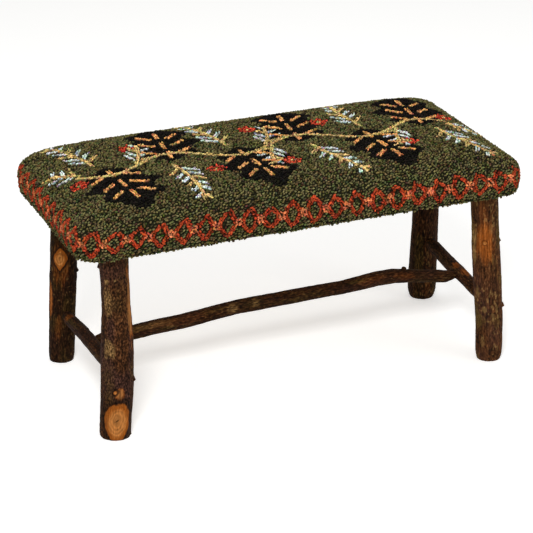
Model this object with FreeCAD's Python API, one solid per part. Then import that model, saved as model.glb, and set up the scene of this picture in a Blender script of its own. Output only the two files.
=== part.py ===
import FreeCAD, Part
import math
import os

# A rustic bench: four bark-on legs and an H of thinner poles under a crowned seat that is
# covered with hooked wool. X runs along the bench, the front faces -Y, and Z is up.
# The origin is on the floor under the middle of the seat. All sizes are in millimetres.

V = FreeCAD.Vector
UP = V(0, 0, 1)

# Seat, overall
SEAT_LENGTH = 813.0
SEAT_DEPTH = 382.0
LEG_HEIGHT = 328.0

# Seat layers, from the outside in
PILE_THICKNESS = 7.0
BACKING_THICKNESS = 1.2
BATTING_THICKNESS = 5.0
BOARD_THICKNESS = 19.0
LAYER_GAP = 0.3
TURN_UNDER = 24.0
LEG_NOTCH = 1.5

# The form of the wool's outer face. Heights are above the board's underside. The sides are
# drawn in at the lower edge, full at FULL_HEIGHT, and from there a superellipse rounds over
# the shoulder and crowns the top. The crown runs further in from the ends than from the sides.
LOWER_EDGE = -1.5
DRAW_IN = 5.0
FULL_HEIGHT = 26.0
CROWN_HEIGHT = 84.0
CROWN_RUN_ENDS = 300.0
CROWN_RUN_SIDES = 100.0
CROWN_POWER = 3.0
CROWN_ANGLES = (0, 10, 20, 30, 40, 50, 60, 70, 79, 86)
CORNER_RADIUS = 42.0
CORNER_GROWTH = 0.9
CORNER_STEPS = 5
BOARD_CORNER_RADIUS = 22.0

# Leg tenons and their wedges. A tenon stops TENON_SET_BACK below the board's top.
LEG_TENON_RADIUS = 12.5
TENON_CLEARANCE = 0.1
TENON_SET_BACK = 0.2
TENON_SPARE = 2.5
WEDGE_TOP = 3.2
WEDGE_TIP = 0.8
WEDGE_DEPTH = 15.0

# Poles: lobes make the section a little out of round, and a pole is skinned through evenly
# spaced sections about POLE_STEP apart
POLE_LOBE = 0.03
THIRD_LOBE = 0.6
POLE_SIDES = 20
POLE_STEP = 34.0
FOOT_STEPS = 3

# Each leg: where its top stands, in from the seat's end and side, how far its foot splays out,
# its lobe angle, how round its foot's edge is worn, and stations up the leg of
# (share of the height, bend x, bend y, radius)
LEGS = {
    "leg_front_left": {
        "inset": (72.5, 44.0), "splay": (11.0, 14.5), "turn": 20.0, "foot_round": 2.5,
        "stations": ((0.0, -1.0, 0.0, 26.8), (0.3, 4.0, 0.5, 28.2), (0.5, 5.0, 1.5, 27.4),
                     (0.73, 3.5, 1.0, 23.8), (1.0, 0.0, 0.0, 24.8)),
    },
    "leg_front_right": {
        "inset": (59.5, 51.0), "splay": (20.0, 7.0), "turn": 75.0, "foot_round": 6.0,
        "stations": ((0.0, 1.5, 0.0, 24.0), (0.22, 4.5, 0.0, 24.4), (0.46, 3.0, 1.0, 25.4),
                     (0.72, 1.0, 0.5, 24.6), (1.0, 0.0, 0.0, 24.4)),
    },
    "leg_back_left": {
        "inset": (76.5, 54.0), "splay": (15.0, 7.0), "turn": 130.0, "foot_round": 3.0,
        "stations": ((0.0, 0.0, 0.0, 22.8), (0.24, 0.5, 0.0, 22.6), (0.48, 1.0, 0.0, 24.0),
                     (0.7, 2.0, 0.0, 23.2), (1.0, 0.0, 0.0, 22.4)),
    },
    "leg_back_right": {
        "inset": (39.0, 56.0), "splay": (8.0, 5.0), "turn": 40.0, "foot_round": 7.0,
        "stations": ((0.0, 2.0, 0.0, 27.4), (0.14, 3.0, 0.0, 27.6), (0.32, 6.0, 0.0, 26.0),
                     (0.6, 8.5, 0.0, 25.0), (0.8, 8.5, 0.0, 24.8), (1.0, 0.0, 0.0, 24.4)),
    },
}

# Branches sawn off close to the legs: share of the leg's height, compass bearing of the saw cut
# (0 is +X, 90 is +Y), radius across the cut, how far the cut stands out from the leg's axis, and
# how steeply the branch grew
SAWN_KNOTS = {
    "leg_front_left": ((0.122, 256.0, 17.5, 27.9, 56.0), (0.268, 244.0, 5.0, 29.2, 20.0)),
    "leg_front_right": ((0.713, 239.0, 4.5, 26.4, 25.0),),
    "leg_back_left": ((0.622, 238.0, 10.0, 24.8, 34.0),),
}
KNOT_FLARE = 1.35
WASTE_REACH = 120.0

# Twig stubs: share of the leg's height, bearing, root radius, length past the bark. A stub
# starts inside the leg, at TWIG_ROOT of its radius.
TWIG_STUBS = {
    "leg_front_left": ((0.902, 160.0, 6.0, 3.5), (0.293, 338.0, 7.5, 1.4)),
    "leg_front_right": ((0.689, 340.0, 6.0, 2.5), (0.302, 338.0, 6.5, 3.5)),
    "leg_back_left": ((0.518, 336.0, 5.5, 4.0),),
    "leg_back_right": ((0.457, 200.0, 5.0, 2.0),),
}
TWIG_TAPER = 0.6
TWIG_RISE = 25.0
TWIG_ROOT = 0.6

# Side stretchers: height of the axis at the back leg and at the front leg, and stations of
# (share of the way from shoulder to shoulder, bend x, bend z, radius)
SIDE_STRETCHERS = {
    "left": {"heights": (93.5, 108.5), "turn": 15.0,
             "stations": ((0.0, 0.0, 0.0, 11.0), (0.3, 1.5, 1.0, 11.6), (0.65, 2.0, -1.0, 11.8),
                          (1.0, 0.0, 0.0, 11.4))},
    "right": {"heights": (121.0, 107.0), "turn": 50.0,
              "stations": ((0.0, 0.0, 0.0, 11.8), (0.35, -2.0, 1.0, 12.5), (0.7, -1.0, 1.5, 12.4),
                           (1.0, 0.0, 0.0, 11.6))},
}
SIDE_TENON_RADIUS = 8.0
SIDE_TENON_DEPTH = 24.0
SIDE_SHOULDER = 15.0
SHOULDER_STAND_OFF = 0.6
SHOULDER_LIP = 1.0
MORTISE_END_ROOM = 1.0

# Centre stretcher: where it meets the left and right side stretchers, as the distance in
# front of the middle, and stations of (share from shoulder to shoulder, bend y, bend z, radius)
CENTER_FORWARD = (6.0, 26.0)
CENTER_TURN = 30.0
CENTER_STATIONS = (
    (0.0, 0.0, 0.0, 12.4),
    (0.19, 2.0, 4.0, 12.6),
    (0.39, -1.0, 15.0, 12.8),
    (0.68, -2.0, 16.5, 12.4),
    (0.82, 1.0, 20.0, 13.4),
    (0.9, 1.0, 12.5, 12.2),
    (1.0, 0.0, 0.0, 11.6),
)
CENTER_TENON_RADIUS = 6.0
CENTER_TENON_DEPTH = 12.0
CENTER_SHOULDER = 18.0
CENTER_STUB = {"share": 0.85, "lean": 82.0, "radius": 7.0, "reach": 2.0}

# Staples that hold the turned-under cloth
STAPLE_PITCH = 64.0
STAPLE_CROWN = 10.0
STAPLE_WIRE = 1.2
STAPLE_LEG = 8.0
STAPLE_INSET = 14.0

PILE_INNER = PILE_THICKNESS
BACKING_OUTER = PILE_INNER + LAYER_GAP
BACKING_INNER = BACKING_OUTER + BACKING_THICKNESS
BATTING_OUTER = BACKING_INNER + LAYER_GAP
BATTING_INNER = BATTING_OUTER + BATTING_THICKNESS
PAD_OUTER = BATTING_INNER + LAYER_GAP
BOARD_TOP = LEG_HEIGHT + BOARD_THICKNESS


def closed_wire(ring):
    """The closed outline through a ring of points."""
    return Part.makePolygon(ring + ring[:1])


def skin(rings):
    """A solid through rings of matching points. Their sides are parallel, so each facet is flat."""
    faces = [Part.Face(closed_wire(rings[0])), Part.Face(closed_wire(rings[-1]))]
    for low, high in zip(rings, rings[1:]):
        for k in range(len(low)):
            n = (k + 1) % len(low)
            faces.append(Part.Face(closed_wire([low[k], low[n], high[n], high[k]])))
    return Part.makeSolid(Part.makeShell(faces))


def rounded_ring(half_length, half_depth, radius, z):
    """A rectangle round the Z axis whose corners are rounded in short straight steps."""
    r = min(radius, half_length - 1.0, half_depth - 1.0)
    ring = []
    for quarter, (sx, sy) in enumerate(((1, 1), (-1, 1), (-1, -1), (1, -1))):
        for step in range(CORNER_STEPS + 1):
            angle = math.pi / 2 * (quarter + step / CORNER_STEPS)
            x = sx * (half_length - r) + r * math.cos(angle)
            y = sy * (half_depth - r) + r * math.sin(angle)
            ring.append(V(x, y, z))
    return ring


def cushion_rows():
    """The wool's outer face from the lower edge up, as (height, end inset, side inset, radius)."""
    half_way = (LOWER_EDGE + FULL_HEIGHT) / 2
    rows = [(LOWER_EDGE, DRAW_IN, DRAW_IN, CORNER_RADIUS - DRAW_IN),
            (half_way, DRAW_IN / 4, DRAW_IN / 4, CORNER_RADIUS)]
    power = 2.0 / CROWN_POWER
    for degrees in CROWN_ANGLES:
        rise = math.sin(math.radians(degrees)) ** power
        run = 1.0 - math.cos(math.radians(degrees)) ** power
        height = FULL_HEIGHT + (CROWN_HEIGHT - FULL_HEIGHT) * rise
        radius = CORNER_RADIUS + CORNER_GROWTH * CROWN_RUN_SIDES * run
        rows.append((height, CROWN_RUN_ENDS * run, CROWN_RUN_SIDES * run, radius))
    return rows


def cushion_ring(row, offset, z):
    """The cushion's outline at one row, a set distance inside the wool's face."""
    _, end_inset, side_inset, radius = row
    half_length = SEAT_LENGTH / 2 - end_inset - offset
    half_depth = SEAT_DEPTH / 2 - side_inset - offset
    return rounded_ring(half_length, half_depth, radius - offset, z)


def cushion_form(offset):
    """The crowned body that lies a set distance inside the wool's outer face."""
    rings = []
    for row in cushion_rows():
        share = max(0.0, row[0] - FULL_HEIGHT) / (CROWN_HEIGHT - FULL_HEIGHT)
        rings.append(cushion_ring(row, offset, LEG_HEIGHT + row[0] - offset * share))
    return skin(rings)


def slab(z_low, z_high):
    """A block wider than the seat, between two heights."""
    length = SEAT_LENGTH * 2
    depth = SEAT_DEPTH * 2
    return Part.makeBox(length, depth, z_high - z_low, V(-length / 2, -depth / 2, z_low))


def pole_ring(center, radius, turn, u, v):
    """A slightly lobed ring in the plane of u and v."""
    ring = []
    for step in range(POLE_SIDES):
        angle = 2 * math.pi * step / POLE_SIDES
        phase = math.radians(turn)
        lobe = math.sin(2 * angle + phase) + THIRD_LOBE * math.sin(3 * angle - phase)
        reach = radius * (1 + POLE_LOBE * lobe)
        ring.append(center + u * (reach * math.cos(angle)) + v * (reach * math.sin(angle)))
    return ring


def rod(start, end, radius):
    """A straight round bar between two points."""
    along = end - start
    return Part.makeCylinder(radius, along.Length, start, along)


def toward(start, end, distance):
    """The point a set distance from start on the way to end."""
    along = V(end - start)
    along.normalize()
    return start + along * distance


def leg_side(name):
    """Which end and which side of the seat a leg stands at, as signs of X and Y."""
    return (-1 if "left" in name else 1), (-1 if "front" in name else 1)


def leg_axis(name):
    """The straight line of a leg, from the middle of its foot to the middle of its top."""
    leg = LEGS[name]
    sx, sy = leg_side(name)
    top = V(sx * (SEAT_LENGTH / 2 - leg["inset"][0]), sy * (SEAT_DEPTH / 2 - leg["inset"][1]), LEG_HEIGHT)
    foot = V(top.x + sx * leg["splay"][0], top.y + sy * leg["splay"][1], 0)
    return foot, top


def along_stations(stations, share):
    """Bends and radius at a share of a pole's length, eased between its stations."""
    for low, high in zip(stations, stations[1:]):
        if share <= high[0]:
            t = (share - low[0]) / (high[0] - low[0])
            ease = t * t * (3 - 2 * t)
            return [a + (b - a) * ease for a, b in zip(low[1:], high[1:])]
    return list(stations[-1][1:])


def leg_center(name, height):
    """The middle of a leg and its radius at a height."""
    foot, top = leg_axis(name)
    share = height / LEG_HEIGHT
    bend_x, bend_y, radius = along_stations(LEGS[name]["stations"], share)
    return foot + (top - foot) * share + V(bend_x, bend_y, 0), radius


def even_shares(length):
    """Evenly spaced shares of a pole's length, about POLE_STEP apart."""
    count = max(3, round(length / POLE_STEP))
    return [step / count for step in range(count + 1)]


def leg_pole(name):
    """The bark-on pole of a leg, from the floor to the board, with a worn edge at its foot."""
    turn = LEGS[name]["turn"]
    worn = LEGS[name]["foot_round"]
    across = (V(1, 0, 0), V(0, 1, 0))
    center, radius = leg_center(name, worn)
    rings = []
    for step in range(FOOT_STEPS):
        angle = math.pi / 2 * step / FOOT_STEPS
        lift = worn * (1 - math.cos(angle))
        shrink = worn * (1 - math.sin(angle))
        rings.append(pole_ring(V(center.x, center.y, lift), radius - shrink, turn, *across))
    for share in even_shares(LEG_HEIGHT - worn):
        center, radius = leg_center(name, worn + share * (LEG_HEIGHT - worn))
        rings.append(pole_ring(center, radius, turn, *across))
    return skin(rings)


def bearing_vector(degrees):
    """The level direction of a compass bearing, 0 along +X and 90 along +Y."""
    return V(math.cos(math.radians(degrees)), math.sin(math.radians(degrees)), 0)


def sawn_knot(name, share, bearing, radius, stand_out, rise):
    """A branch that grew up and out of a leg, sawn off flat beside the bark."""
    center, _ = leg_center(name, share * LEG_HEIGHT)
    outward = bearing_vector(bearing)
    climb = math.radians(rise)
    growth = outward * math.cos(climb) + UP * math.sin(climb)
    cut_center = center + outward * stand_out
    run = stand_out / math.cos(climb)
    past = radius * math.tan(climb) + radius
    root = cut_center - growth * run
    tip = cut_center + growth * past
    slope = radius * (KNOT_FLARE - 1) / run
    branch = Part.makeCone(radius * KNOT_FLARE, radius - slope * past, run + past, root, tip - root)
    waste = Part.makeCylinder(WASTE_REACH, WASTE_REACH, cut_center, outward)
    below_floor = Part.makeCylinder(WASTE_REACH, WASTE_REACH, V(center.x, center.y, 0), -UP)
    return branch.cut(waste).cut(below_floor)


def twig_stub(name, share, bearing, radius, length):
    """The short tapered stump of a twig."""
    center, leg_radius = leg_center(name, share * LEG_HEIGHT)
    rise = math.radians(TWIG_RISE)
    growth = bearing_vector(bearing) * math.cos(rise) + UP * math.sin(rise)
    root = center + bearing_vector(bearing) * (leg_radius * TWIG_ROOT)
    reach = leg_radius * (1 - TWIG_ROOT) + length
    return Part.makeCone(radius, radius * TWIG_TAPER, reach, root, growth)


def leg_tenon(name, radius, low, high):
    """The round bar on a leg's own line between two heights, long enough to be trimmed."""
    foot, top = leg_axis(name)
    rise = top - foot
    start = foot + rise * ((low - TENON_SPARE) / LEG_HEIGHT)
    end = foot + rise * ((high + TENON_SPARE) / LEG_HEIGHT)
    return rod(start, end, radius)


def tenon_wedge(name):
    """The wedge that spreads a leg's tenon, driven across the board's grain."""
    foot, top = leg_axis(name)
    rise = top - foot
    crown = BOARD_TOP - TENON_SET_BACK
    middle = foot + rise * (crown / LEG_HEIGHT)
    half_width = LEG_TENON_RADIUS * 2
    corners = [V(middle.x - WEDGE_TOP / 2, 0, crown), V(middle.x + WEDGE_TOP / 2, 0, crown),
               V(middle.x + WEDGE_TIP / 2, 0, crown - WEDGE_DEPTH),
               V(middle.x - WEDGE_TIP / 2, 0, crown - WEDGE_DEPTH)]
    corners = [c + V(0, middle.y - half_width, 0) for c in corners]
    blank = Part.Face(closed_wire(corners)).extrude(V(0, 2 * half_width, 0))
    return blank.common(leg_tenon(name, LEG_TENON_RADIUS, LEG_HEIGHT, BOARD_TOP))


def side_axis(side):
    """The line of a side stretcher, from the back leg's middle to the front leg's middle."""
    back_height, front_height = SIDE_STRETCHERS[side]["heights"]
    back, back_radius = leg_center("leg_back_" + side, back_height)
    front, front_radius = leg_center("leg_front_" + side, front_height)
    return back, back_radius, front, front_radius


def side_shoulders(side):
    """Where a side stretcher's bared shoulders stop at the two legs."""
    back, back_radius, front, front_radius = side_axis(side)
    near_back = toward(back, front, back_radius + SHOULDER_STAND_OFF)
    near_front = toward(front, back, front_radius + SHOULDER_STAND_OFF)
    return near_back, near_front


def shouldered_pole(ends, stations, turn, across, shoulder, tenon_radius):
    """A pole between two points that tapers at each end nearly to its tenon's radius."""
    start, end = ends
    u, v = across
    first = toward(start, end, shoulder)
    last = toward(end, start, shoulder)
    tip_radius = tenon_radius + SHOULDER_LIP
    rings = [pole_ring(start, tip_radius, turn, u, v)]
    for share in even_shares((last - first).Length):
        u_bend, v_bend, radius = along_stations(stations, share)
        center = first + (last - first) * share + u * u_bend + v * v_bend
        rings.append(pole_ring(center, radius, turn, u, v))
    rings.append(pole_ring(end, tip_radius, turn, u, v))
    return skin(rings)


def side_tenons(side, radius, extra):
    """The tenons of a side stretcher, or with extra the mortises that take them."""
    back, _, front, _ = side_axis(side)
    near_back, near_front = side_shoulders(side)
    bars = []
    for near, far in ((near_back, front), (near_front, back)):
        deep = toward(near, far, -(SIDE_TENON_DEPTH + extra))
        bars.append(rod(deep, toward(near, far, SIDE_SHOULDER / 2), radius))
    return bars


def side_center(side, forward):
    """The middle of a side stretcher where the centre stretcher meets it, and its radius."""
    near_back, near_front = side_shoulders(side)
    first = toward(near_back, near_front, SIDE_SHOULDER)
    last = toward(near_front, near_back, SIDE_SHOULDER)
    share = (first.y + forward) / (first.y - last.y)
    bend_x, bend_z, radius = along_stations(SIDE_STRETCHERS[side]["stations"], share)
    return first + (last - first) * share + V(bend_x, 0, bend_z), radius


def center_axis():
    """The centre stretcher's line and where its shoulders stop at the side stretchers."""
    left, left_radius = side_center("left", CENTER_FORWARD[0])
    right, right_radius = side_center("right", CENTER_FORWARD[1])
    near_left = toward(left, right, left_radius + SHOULDER_STAND_OFF)
    near_right = toward(right, left, right_radius + SHOULDER_STAND_OFF)
    return near_left, near_right


def center_tenons(radius, extra):
    """The centre stretcher's tenons, or with extra the mortises in the side stretchers."""
    near_left, near_right = center_axis()
    bars = []
    for near, far in ((near_left, near_right), (near_right, near_left)):
        deep = toward(near, far, -(CENTER_TENON_DEPTH + extra))
        bars.append(rod(deep, toward(near, far, CENTER_SHOULDER / 2), radius))
    return bars


def make_leg(name):
    """A leg with its knots, its tenon slotted for the wedge, and its mortise."""
    leg = leg_pole(name)
    for knot in SAWN_KNOTS.get(name, ()):
        leg = leg.fuse(sawn_knot(name, *knot))
    for twig in TWIG_STUBS.get(name, ()):
        leg = leg.fuse(twig_stub(name, *twig))
    tenon = leg_tenon(name, LEG_TENON_RADIUS, LEG_HEIGHT - LEG_TENON_RADIUS, BOARD_TOP)
    tenon = tenon.cut(slab(BOARD_TOP - TENON_SET_BACK, BOARD_TOP * 2))
    leg = leg.fuse(tenon).cut(tenon_wedge(name))
    side = "left" if "left" in name else "right"
    for mortise in side_tenons(side, SIDE_TENON_RADIUS + TENON_CLEARANCE, MORTISE_END_ROOM):
        leg = leg.cut(mortise)
    return leg


def make_side_stretcher(side):
    """A side stretcher with its tenons and the mortise for the centre stretcher."""
    form = SIDE_STRETCHERS[side]
    pole = shouldered_pole(side_shoulders(side), form["stations"], form["turn"],
                           (V(1, 0, 0), UP), SIDE_SHOULDER, SIDE_TENON_RADIUS)
    for bar in side_tenons(side, SIDE_TENON_RADIUS, 0.0):
        pole = pole.fuse(bar)
    for mortise in center_tenons(CENTER_TENON_RADIUS + TENON_CLEARANCE, MORTISE_END_ROOM):
        pole = pole.cut(mortise)
    return pole


def make_center_stretcher():
    """The long crooked pole, with a branch stub on its back."""
    near_left, near_right = center_axis()
    pole = shouldered_pole((near_left, near_right), CENTER_STATIONS, CENTER_TURN,
                           (V(0, 1, 0), UP), CENTER_SHOULDER, CENTER_TENON_RADIUS)
    for bar in center_tenons(CENTER_TENON_RADIUS, 0.0):
        pole = pole.fuse(bar)
    bend_y, bend_z, radius = along_stations(CENTER_STATIONS, CENTER_STUB["share"])
    root = near_left + (near_right - near_left) * CENTER_STUB["share"] + V(0, bend_y, bend_z)
    lean = math.radians(CENTER_STUB["lean"])
    growth = V(math.cos(lean), 0, math.sin(lean))
    stub = Part.makeCone(CENTER_STUB["radius"], CENTER_STUB["radius"] * TWIG_TAPER,
                         radius + CENTER_STUB["reach"], root, growth)
    return pole.fuse(stub)


def make_seat_board():
    """The seat board, bored on the slant for the four leg tenons."""
    edge_inset = PAD_OUTER + DRAW_IN
    outline = rounded_ring(SEAT_LENGTH / 2 - edge_inset, SEAT_DEPTH / 2 - edge_inset,
                           BOARD_CORNER_RADIUS, LEG_HEIGHT)
    board = Part.Face(closed_wire(outline)).extrude(V(0, 0, BOARD_THICKNESS))
    for name in LEGS:
        board = board.cut(leg_tenon(name, LEG_TENON_RADIUS + TENON_CLEARANCE, LEG_HEIGHT, BOARD_TOP))
    return board


def make_shell(outer, inner, z_low):
    """A layer of the seat between two offsets, open below."""
    layer = cushion_form(outer).cut(cushion_form(inner))
    return layer.cut(slab(0.0, z_low))


def make_backing_cloth():
    """The backing cloth, turned under the board's edge and notched round the legs."""
    cloth = make_shell(BACKING_OUTER, BACKING_INNER, LEG_HEIGHT + LOWER_EDGE)
    low = cushion_rows()[0]
    z = LEG_HEIGHT + LOWER_EDGE
    outer = Part.Face(closed_wire(cushion_ring(low, BACKING_OUTER, z)))
    inner = Part.Face(closed_wire(cushion_ring(low, BACKING_OUTER + TURN_UNDER, z)))
    cloth = cloth.fuse(outer.cut(inner).extrude(V(0, 0, BACKING_THICKNESS)))
    for name in LEGS:
        top, radius = leg_center(name, LEG_HEIGHT)
        reach = radius * (1 + 2 * POLE_LOBE) + LEG_NOTCH
        notch = Part.makeCylinder(reach, -LOWER_EDGE, V(top.x, top.y, LEG_HEIGHT + LOWER_EDGE))
        cloth = cloth.cut(notch)
    return cloth


def staple(center, along):
    """One staple under the hem: a crown and two legs driven up into the board."""
    half = STAPLE_WIRE / 2
    crown_top = LEG_HEIGHT + LOWER_EDGE
    x_axis = abs(along.x) > 0.5
    length = STAPLE_CROWN if x_axis else STAPLE_WIRE
    depth = STAPLE_WIRE if x_axis else STAPLE_CROWN
    crown = Part.makeBox(length, depth, STAPLE_WIRE,
                         V(center.x - length / 2, center.y - depth / 2, crown_top - STAPLE_WIRE))
    for end in (-1, 1):
        foot = center + along * (end * (STAPLE_CROWN / 2 - half))
        corner = V(foot.x - half, foot.y - half, crown_top - half)
        crown = crown.fuse(Part.makeBox(STAPLE_WIRE, STAPLE_WIRE, STAPLE_LEG + half, corner))
    return crown.removeSplitter()


def staple_places():
    """Middles of the staples along the four sides of the hem, clear of the legs."""
    inset = PAD_OUTER + DRAW_IN + STAPLE_INSET
    half_length = SEAT_LENGTH / 2 - inset
    half_depth = SEAT_DEPTH / 2 - inset
    runs = ((half_length - BOARD_CORNER_RADIUS, V(1, 0, 0), V(0, half_depth, 0)),
            (half_depth - BOARD_CORNER_RADIUS, V(0, 1, 0), V(half_length, 0, 0)))
    places = []
    for half_run, along, out in runs:
        count = int(2 * half_run / STAPLE_PITCH)
        for sign in (-1, 1):
            for step in range(count + 1):
                shift = -half_run + 2 * half_run * step / count
                places.append((out * sign + along * shift, along))
    clear = []
    for place, along in places:
        if all(staple_clears(place, name) for name in LEGS):
            clear.append((place, along))
    return clear


def staple_clears(place, name):
    """True where a staple stays outside the notch round a leg."""
    top, radius = leg_center(name, LEG_HEIGHT)
    room = radius * (1 + 2 * POLE_LOBE) + LEG_NOTCH + STAPLE_CROWN
    return math.hypot(place.x - top.x, place.y - top.y) > room


def single_solid(shape):
    """The one solid that a cut or a fuse has left, out of its compound."""
    solids = shape.Solids
    assert len(solids) == 1, "%d solids" % len(solids)
    return solids[0]


def build():
    """Every piece of the bench by its node's name."""
    nodes = {}
    for name in LEGS:
        nodes[name] = single_solid(make_leg(name))
    for side in SIDE_STRETCHERS:
        nodes["side_stretcher_" + side] = single_solid(make_side_stretcher(side))
    nodes["center_stretcher"] = single_solid(make_center_stretcher())
    staples = Part.makeCompound([staple(place, along) for place, along in staple_places()])
    nodes["cover_staples"] = staples
    nodes["seat_board"] = single_solid(make_seat_board().cut(staples))
    nodes["tenon_wedges"] = Part.makeCompound([tenon_wedge(name) for name in LEGS])
    pad = cushion_form(PAD_OUTER)
    nodes["seat_foam"] = single_solid(pad.cut(slab(0.0, BOARD_TOP)))
    nodes["seat_batting"] = single_solid(make_shell(BATTING_OUTER, BATTING_INNER, LEG_HEIGHT))
    nodes["backing_cloth"] = single_solid(make_backing_cloth().cut(staples))
    nodes["wool_pile"] = single_solid(make_shell(0.0, PILE_INNER, LEG_HEIGHT + LOWER_EDGE))
    return nodes


os.makedirs("parts", exist_ok=True)
for node, shape in build().items():
    shape.exportStep("parts/" + node + ".step")
    print(node, len(shape.Solids), "solid(s)", round(shape.Volume / 1000.0, 1), "cm3", shape.isValid())
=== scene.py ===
# %% [markdown]
# # A rustic bench with a hooked wool seat
# Four crooked poles with the bark left on carry a board, and the board carries a foam pad under
# a hooked wool cover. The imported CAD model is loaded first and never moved. It says where every
# piece is, and this file gives each piece the surface that the real one has.

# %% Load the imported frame
import itertools
import math

import bpy
import numpy as np
from mathutils import Matrix, Vector
from mathutils.bvhtree import BVHTree


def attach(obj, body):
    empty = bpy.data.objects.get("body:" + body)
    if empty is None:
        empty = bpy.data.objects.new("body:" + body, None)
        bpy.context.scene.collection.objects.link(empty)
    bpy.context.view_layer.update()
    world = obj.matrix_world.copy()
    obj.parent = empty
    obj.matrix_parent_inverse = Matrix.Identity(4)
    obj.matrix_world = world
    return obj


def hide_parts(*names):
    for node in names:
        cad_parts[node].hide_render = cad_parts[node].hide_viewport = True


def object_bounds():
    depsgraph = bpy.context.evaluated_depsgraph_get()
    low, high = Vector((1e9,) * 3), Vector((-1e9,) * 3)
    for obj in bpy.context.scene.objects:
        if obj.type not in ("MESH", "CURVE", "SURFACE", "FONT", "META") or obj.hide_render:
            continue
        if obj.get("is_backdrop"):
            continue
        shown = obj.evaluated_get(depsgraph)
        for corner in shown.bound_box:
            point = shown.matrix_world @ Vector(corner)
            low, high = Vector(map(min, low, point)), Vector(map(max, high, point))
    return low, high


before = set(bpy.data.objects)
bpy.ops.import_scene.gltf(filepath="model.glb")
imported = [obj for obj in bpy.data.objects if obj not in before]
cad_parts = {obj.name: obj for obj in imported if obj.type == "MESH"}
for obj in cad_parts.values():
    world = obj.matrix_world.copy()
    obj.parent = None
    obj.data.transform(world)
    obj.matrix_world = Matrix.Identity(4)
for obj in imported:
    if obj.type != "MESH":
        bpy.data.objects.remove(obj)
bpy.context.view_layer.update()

MM = 0.001

# %% [markdown]
# ## The camera
# The picture was taken from the front left, a little above the seat, with a long lens. A camera
# can be dragged into place by hand, but the angles, distance and lens were worked out from the
# seat's edges, so they are set here as numbers and the camera's axes are built from them.

# %% Camera
PHOTO_PIXELS = 533
FOCAL_PIXELS = 2000.0
SENSOR_MM = 36.0
CAMERA_AZIMUTH = math.radians(-22.64)
CAMERA_ELEVATION = math.radians(24.04)
CAMERA_DISTANCE = 3.6074
CAMERA_AIM_RIGHT = -0.0044
CAMERA_AIM_UP = 0.1651


def show(name, data):
    """Adds an object to the scene."""
    made = bpy.data.objects.new(name, data)
    bpy.context.collection.objects.link(made)
    return made


def set_camera():
    """Puts the camera where the picture was taken from."""
    level = math.cos(CAMERA_ELEVATION)
    right = Vector((math.cos(CAMERA_AZIMUTH), math.sin(CAMERA_AZIMUTH), 0))
    back = Vector((math.sin(CAMERA_AZIMUTH) * level, -math.cos(CAMERA_AZIMUTH) * level,
                   math.sin(CAMERA_ELEVATION)))
    up = back.cross(right)
    place = back * CAMERA_DISTANCE + right * CAMERA_AIM_RIGHT + up * CAMERA_AIM_UP
    camera = show("camera", bpy.data.cameras.new("camera"))
    camera.data.sensor_width = SENSOR_MM
    camera.data.lens = SENSOR_MM * FOCAL_PIXELS / PHOTO_PIXELS
    camera.matrix_world = Matrix.Translation(place) @ Matrix((right, up, back)).transposed().to_4x4()
    bpy.context.scene.camera = camera
    return camera


camera = set_camera()
print("camera lens", round(camera.data.lens, 1), "mm at", [round(v, 2) for v in camera.location])

# %% [markdown]
# ## Material helpers
# Every finish here is a small node tree. These helpers start a material with its shader and
# add nodes in one line each, so that the cells below read as lists of what a finish is made of.

# %% Helpers for node materials


class Finish:
    """A node material: its shader, and short ways to add and join nodes."""

    def __init__(self, name, **sockets):
        self.material = bpy.data.materials.new(name)
        self.material.use_nodes = True
        self.tree = self.material.node_tree
        self.shader = self.tree.nodes["Principled BSDF"]
        self.set(self.shader, sockets)

    def set(self, node, values):
        """Sets the socket of each name, with _ for a space, or else the property of that name."""
        for name, value in values.items():
            socket = node.inputs.get(name.replace("_", " "))
            if socket is None:
                setattr(node, name, value)
            else:
                socket.default_value = value

    def node(self, kind, **values):
        made = self.tree.nodes.new("ShaderNode" + kind)
        self.set(made, values)
        return made

    def join(self, out, into):
        self.tree.links.new(out, into)

    def place(self, scale):
        """The object's own coordinates, times one scale or a scale for each axis."""
        mapping = self.node("Mapping", Scale=scale if np.ndim(scale) else [scale] * 3)
        self.join(self.node("TexCoord").outputs["Object"], mapping.inputs["Vector"])
        return mapping.outputs["Vector"]

    def noise(self, scale, detail=3.0, roughness=0.6):
        """Uneven patches, so many to the metre."""
        made = self.node("TexNoise", Scale=1.0, Detail=detail, Roughness=roughness)
        self.join(self.place(scale), made.inputs["Vector"])
        return made.outputs["Fac"]

    def ramp(self, value, *stops):
        """Colours along a value, given as (position, colour), where one number is a grey."""
        made = self.node("ValToRGB")
        marks = made.color_ramp.elements
        while len(marks) < len(stops):
            marks.new(0.5)
        for mark, (position, color) in zip(marks, stops):
            mark.position = position
            mark.color = (*(color if np.ndim(color) else [color] * 3), 1.0)
        self.join(value, made.inputs["Fac"])
        return made.outputs["Color"]

    def remap(self, value, low, high):
        """A value between 0 and 1 spread from low to high."""
        made = self.node("MapRange", To_Min=low, To_Max=high)
        self.join(value, made.inputs["Value"])
        return made.outputs["Result"]

    def times(self, color, factor):
        """A colour made darker or lighter by a second colour."""
        made = self.node("Mix", data_type="RGBA", blend_type="MULTIPLY", Factor=1.0)
        self.join(color, made.inputs["A"])
        self.join(factor, made.inputs["B"])
        return made.outputs["Result"]

    def stored(self, name):
        """The colour and alpha that were worked out for each point of a mesh and stored on it."""
        return self.node("Attribute", attribute_name=name).outputs

    def bump(self, height, strength, distance):
        made = self.node("Bump", Strength=strength, Distance=distance)
        self.join(height, made.inputs["Height"])
        self.join(made.outputs["Normal"], self.shader.inputs["Normal"])

    def color(self, out):
        self.join(out, self.shader.inputs["Base Color"])

    def rough(self, out):
        self.join(out, self.shader.inputs["Roughness"])


print("material helpers ready")

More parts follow.
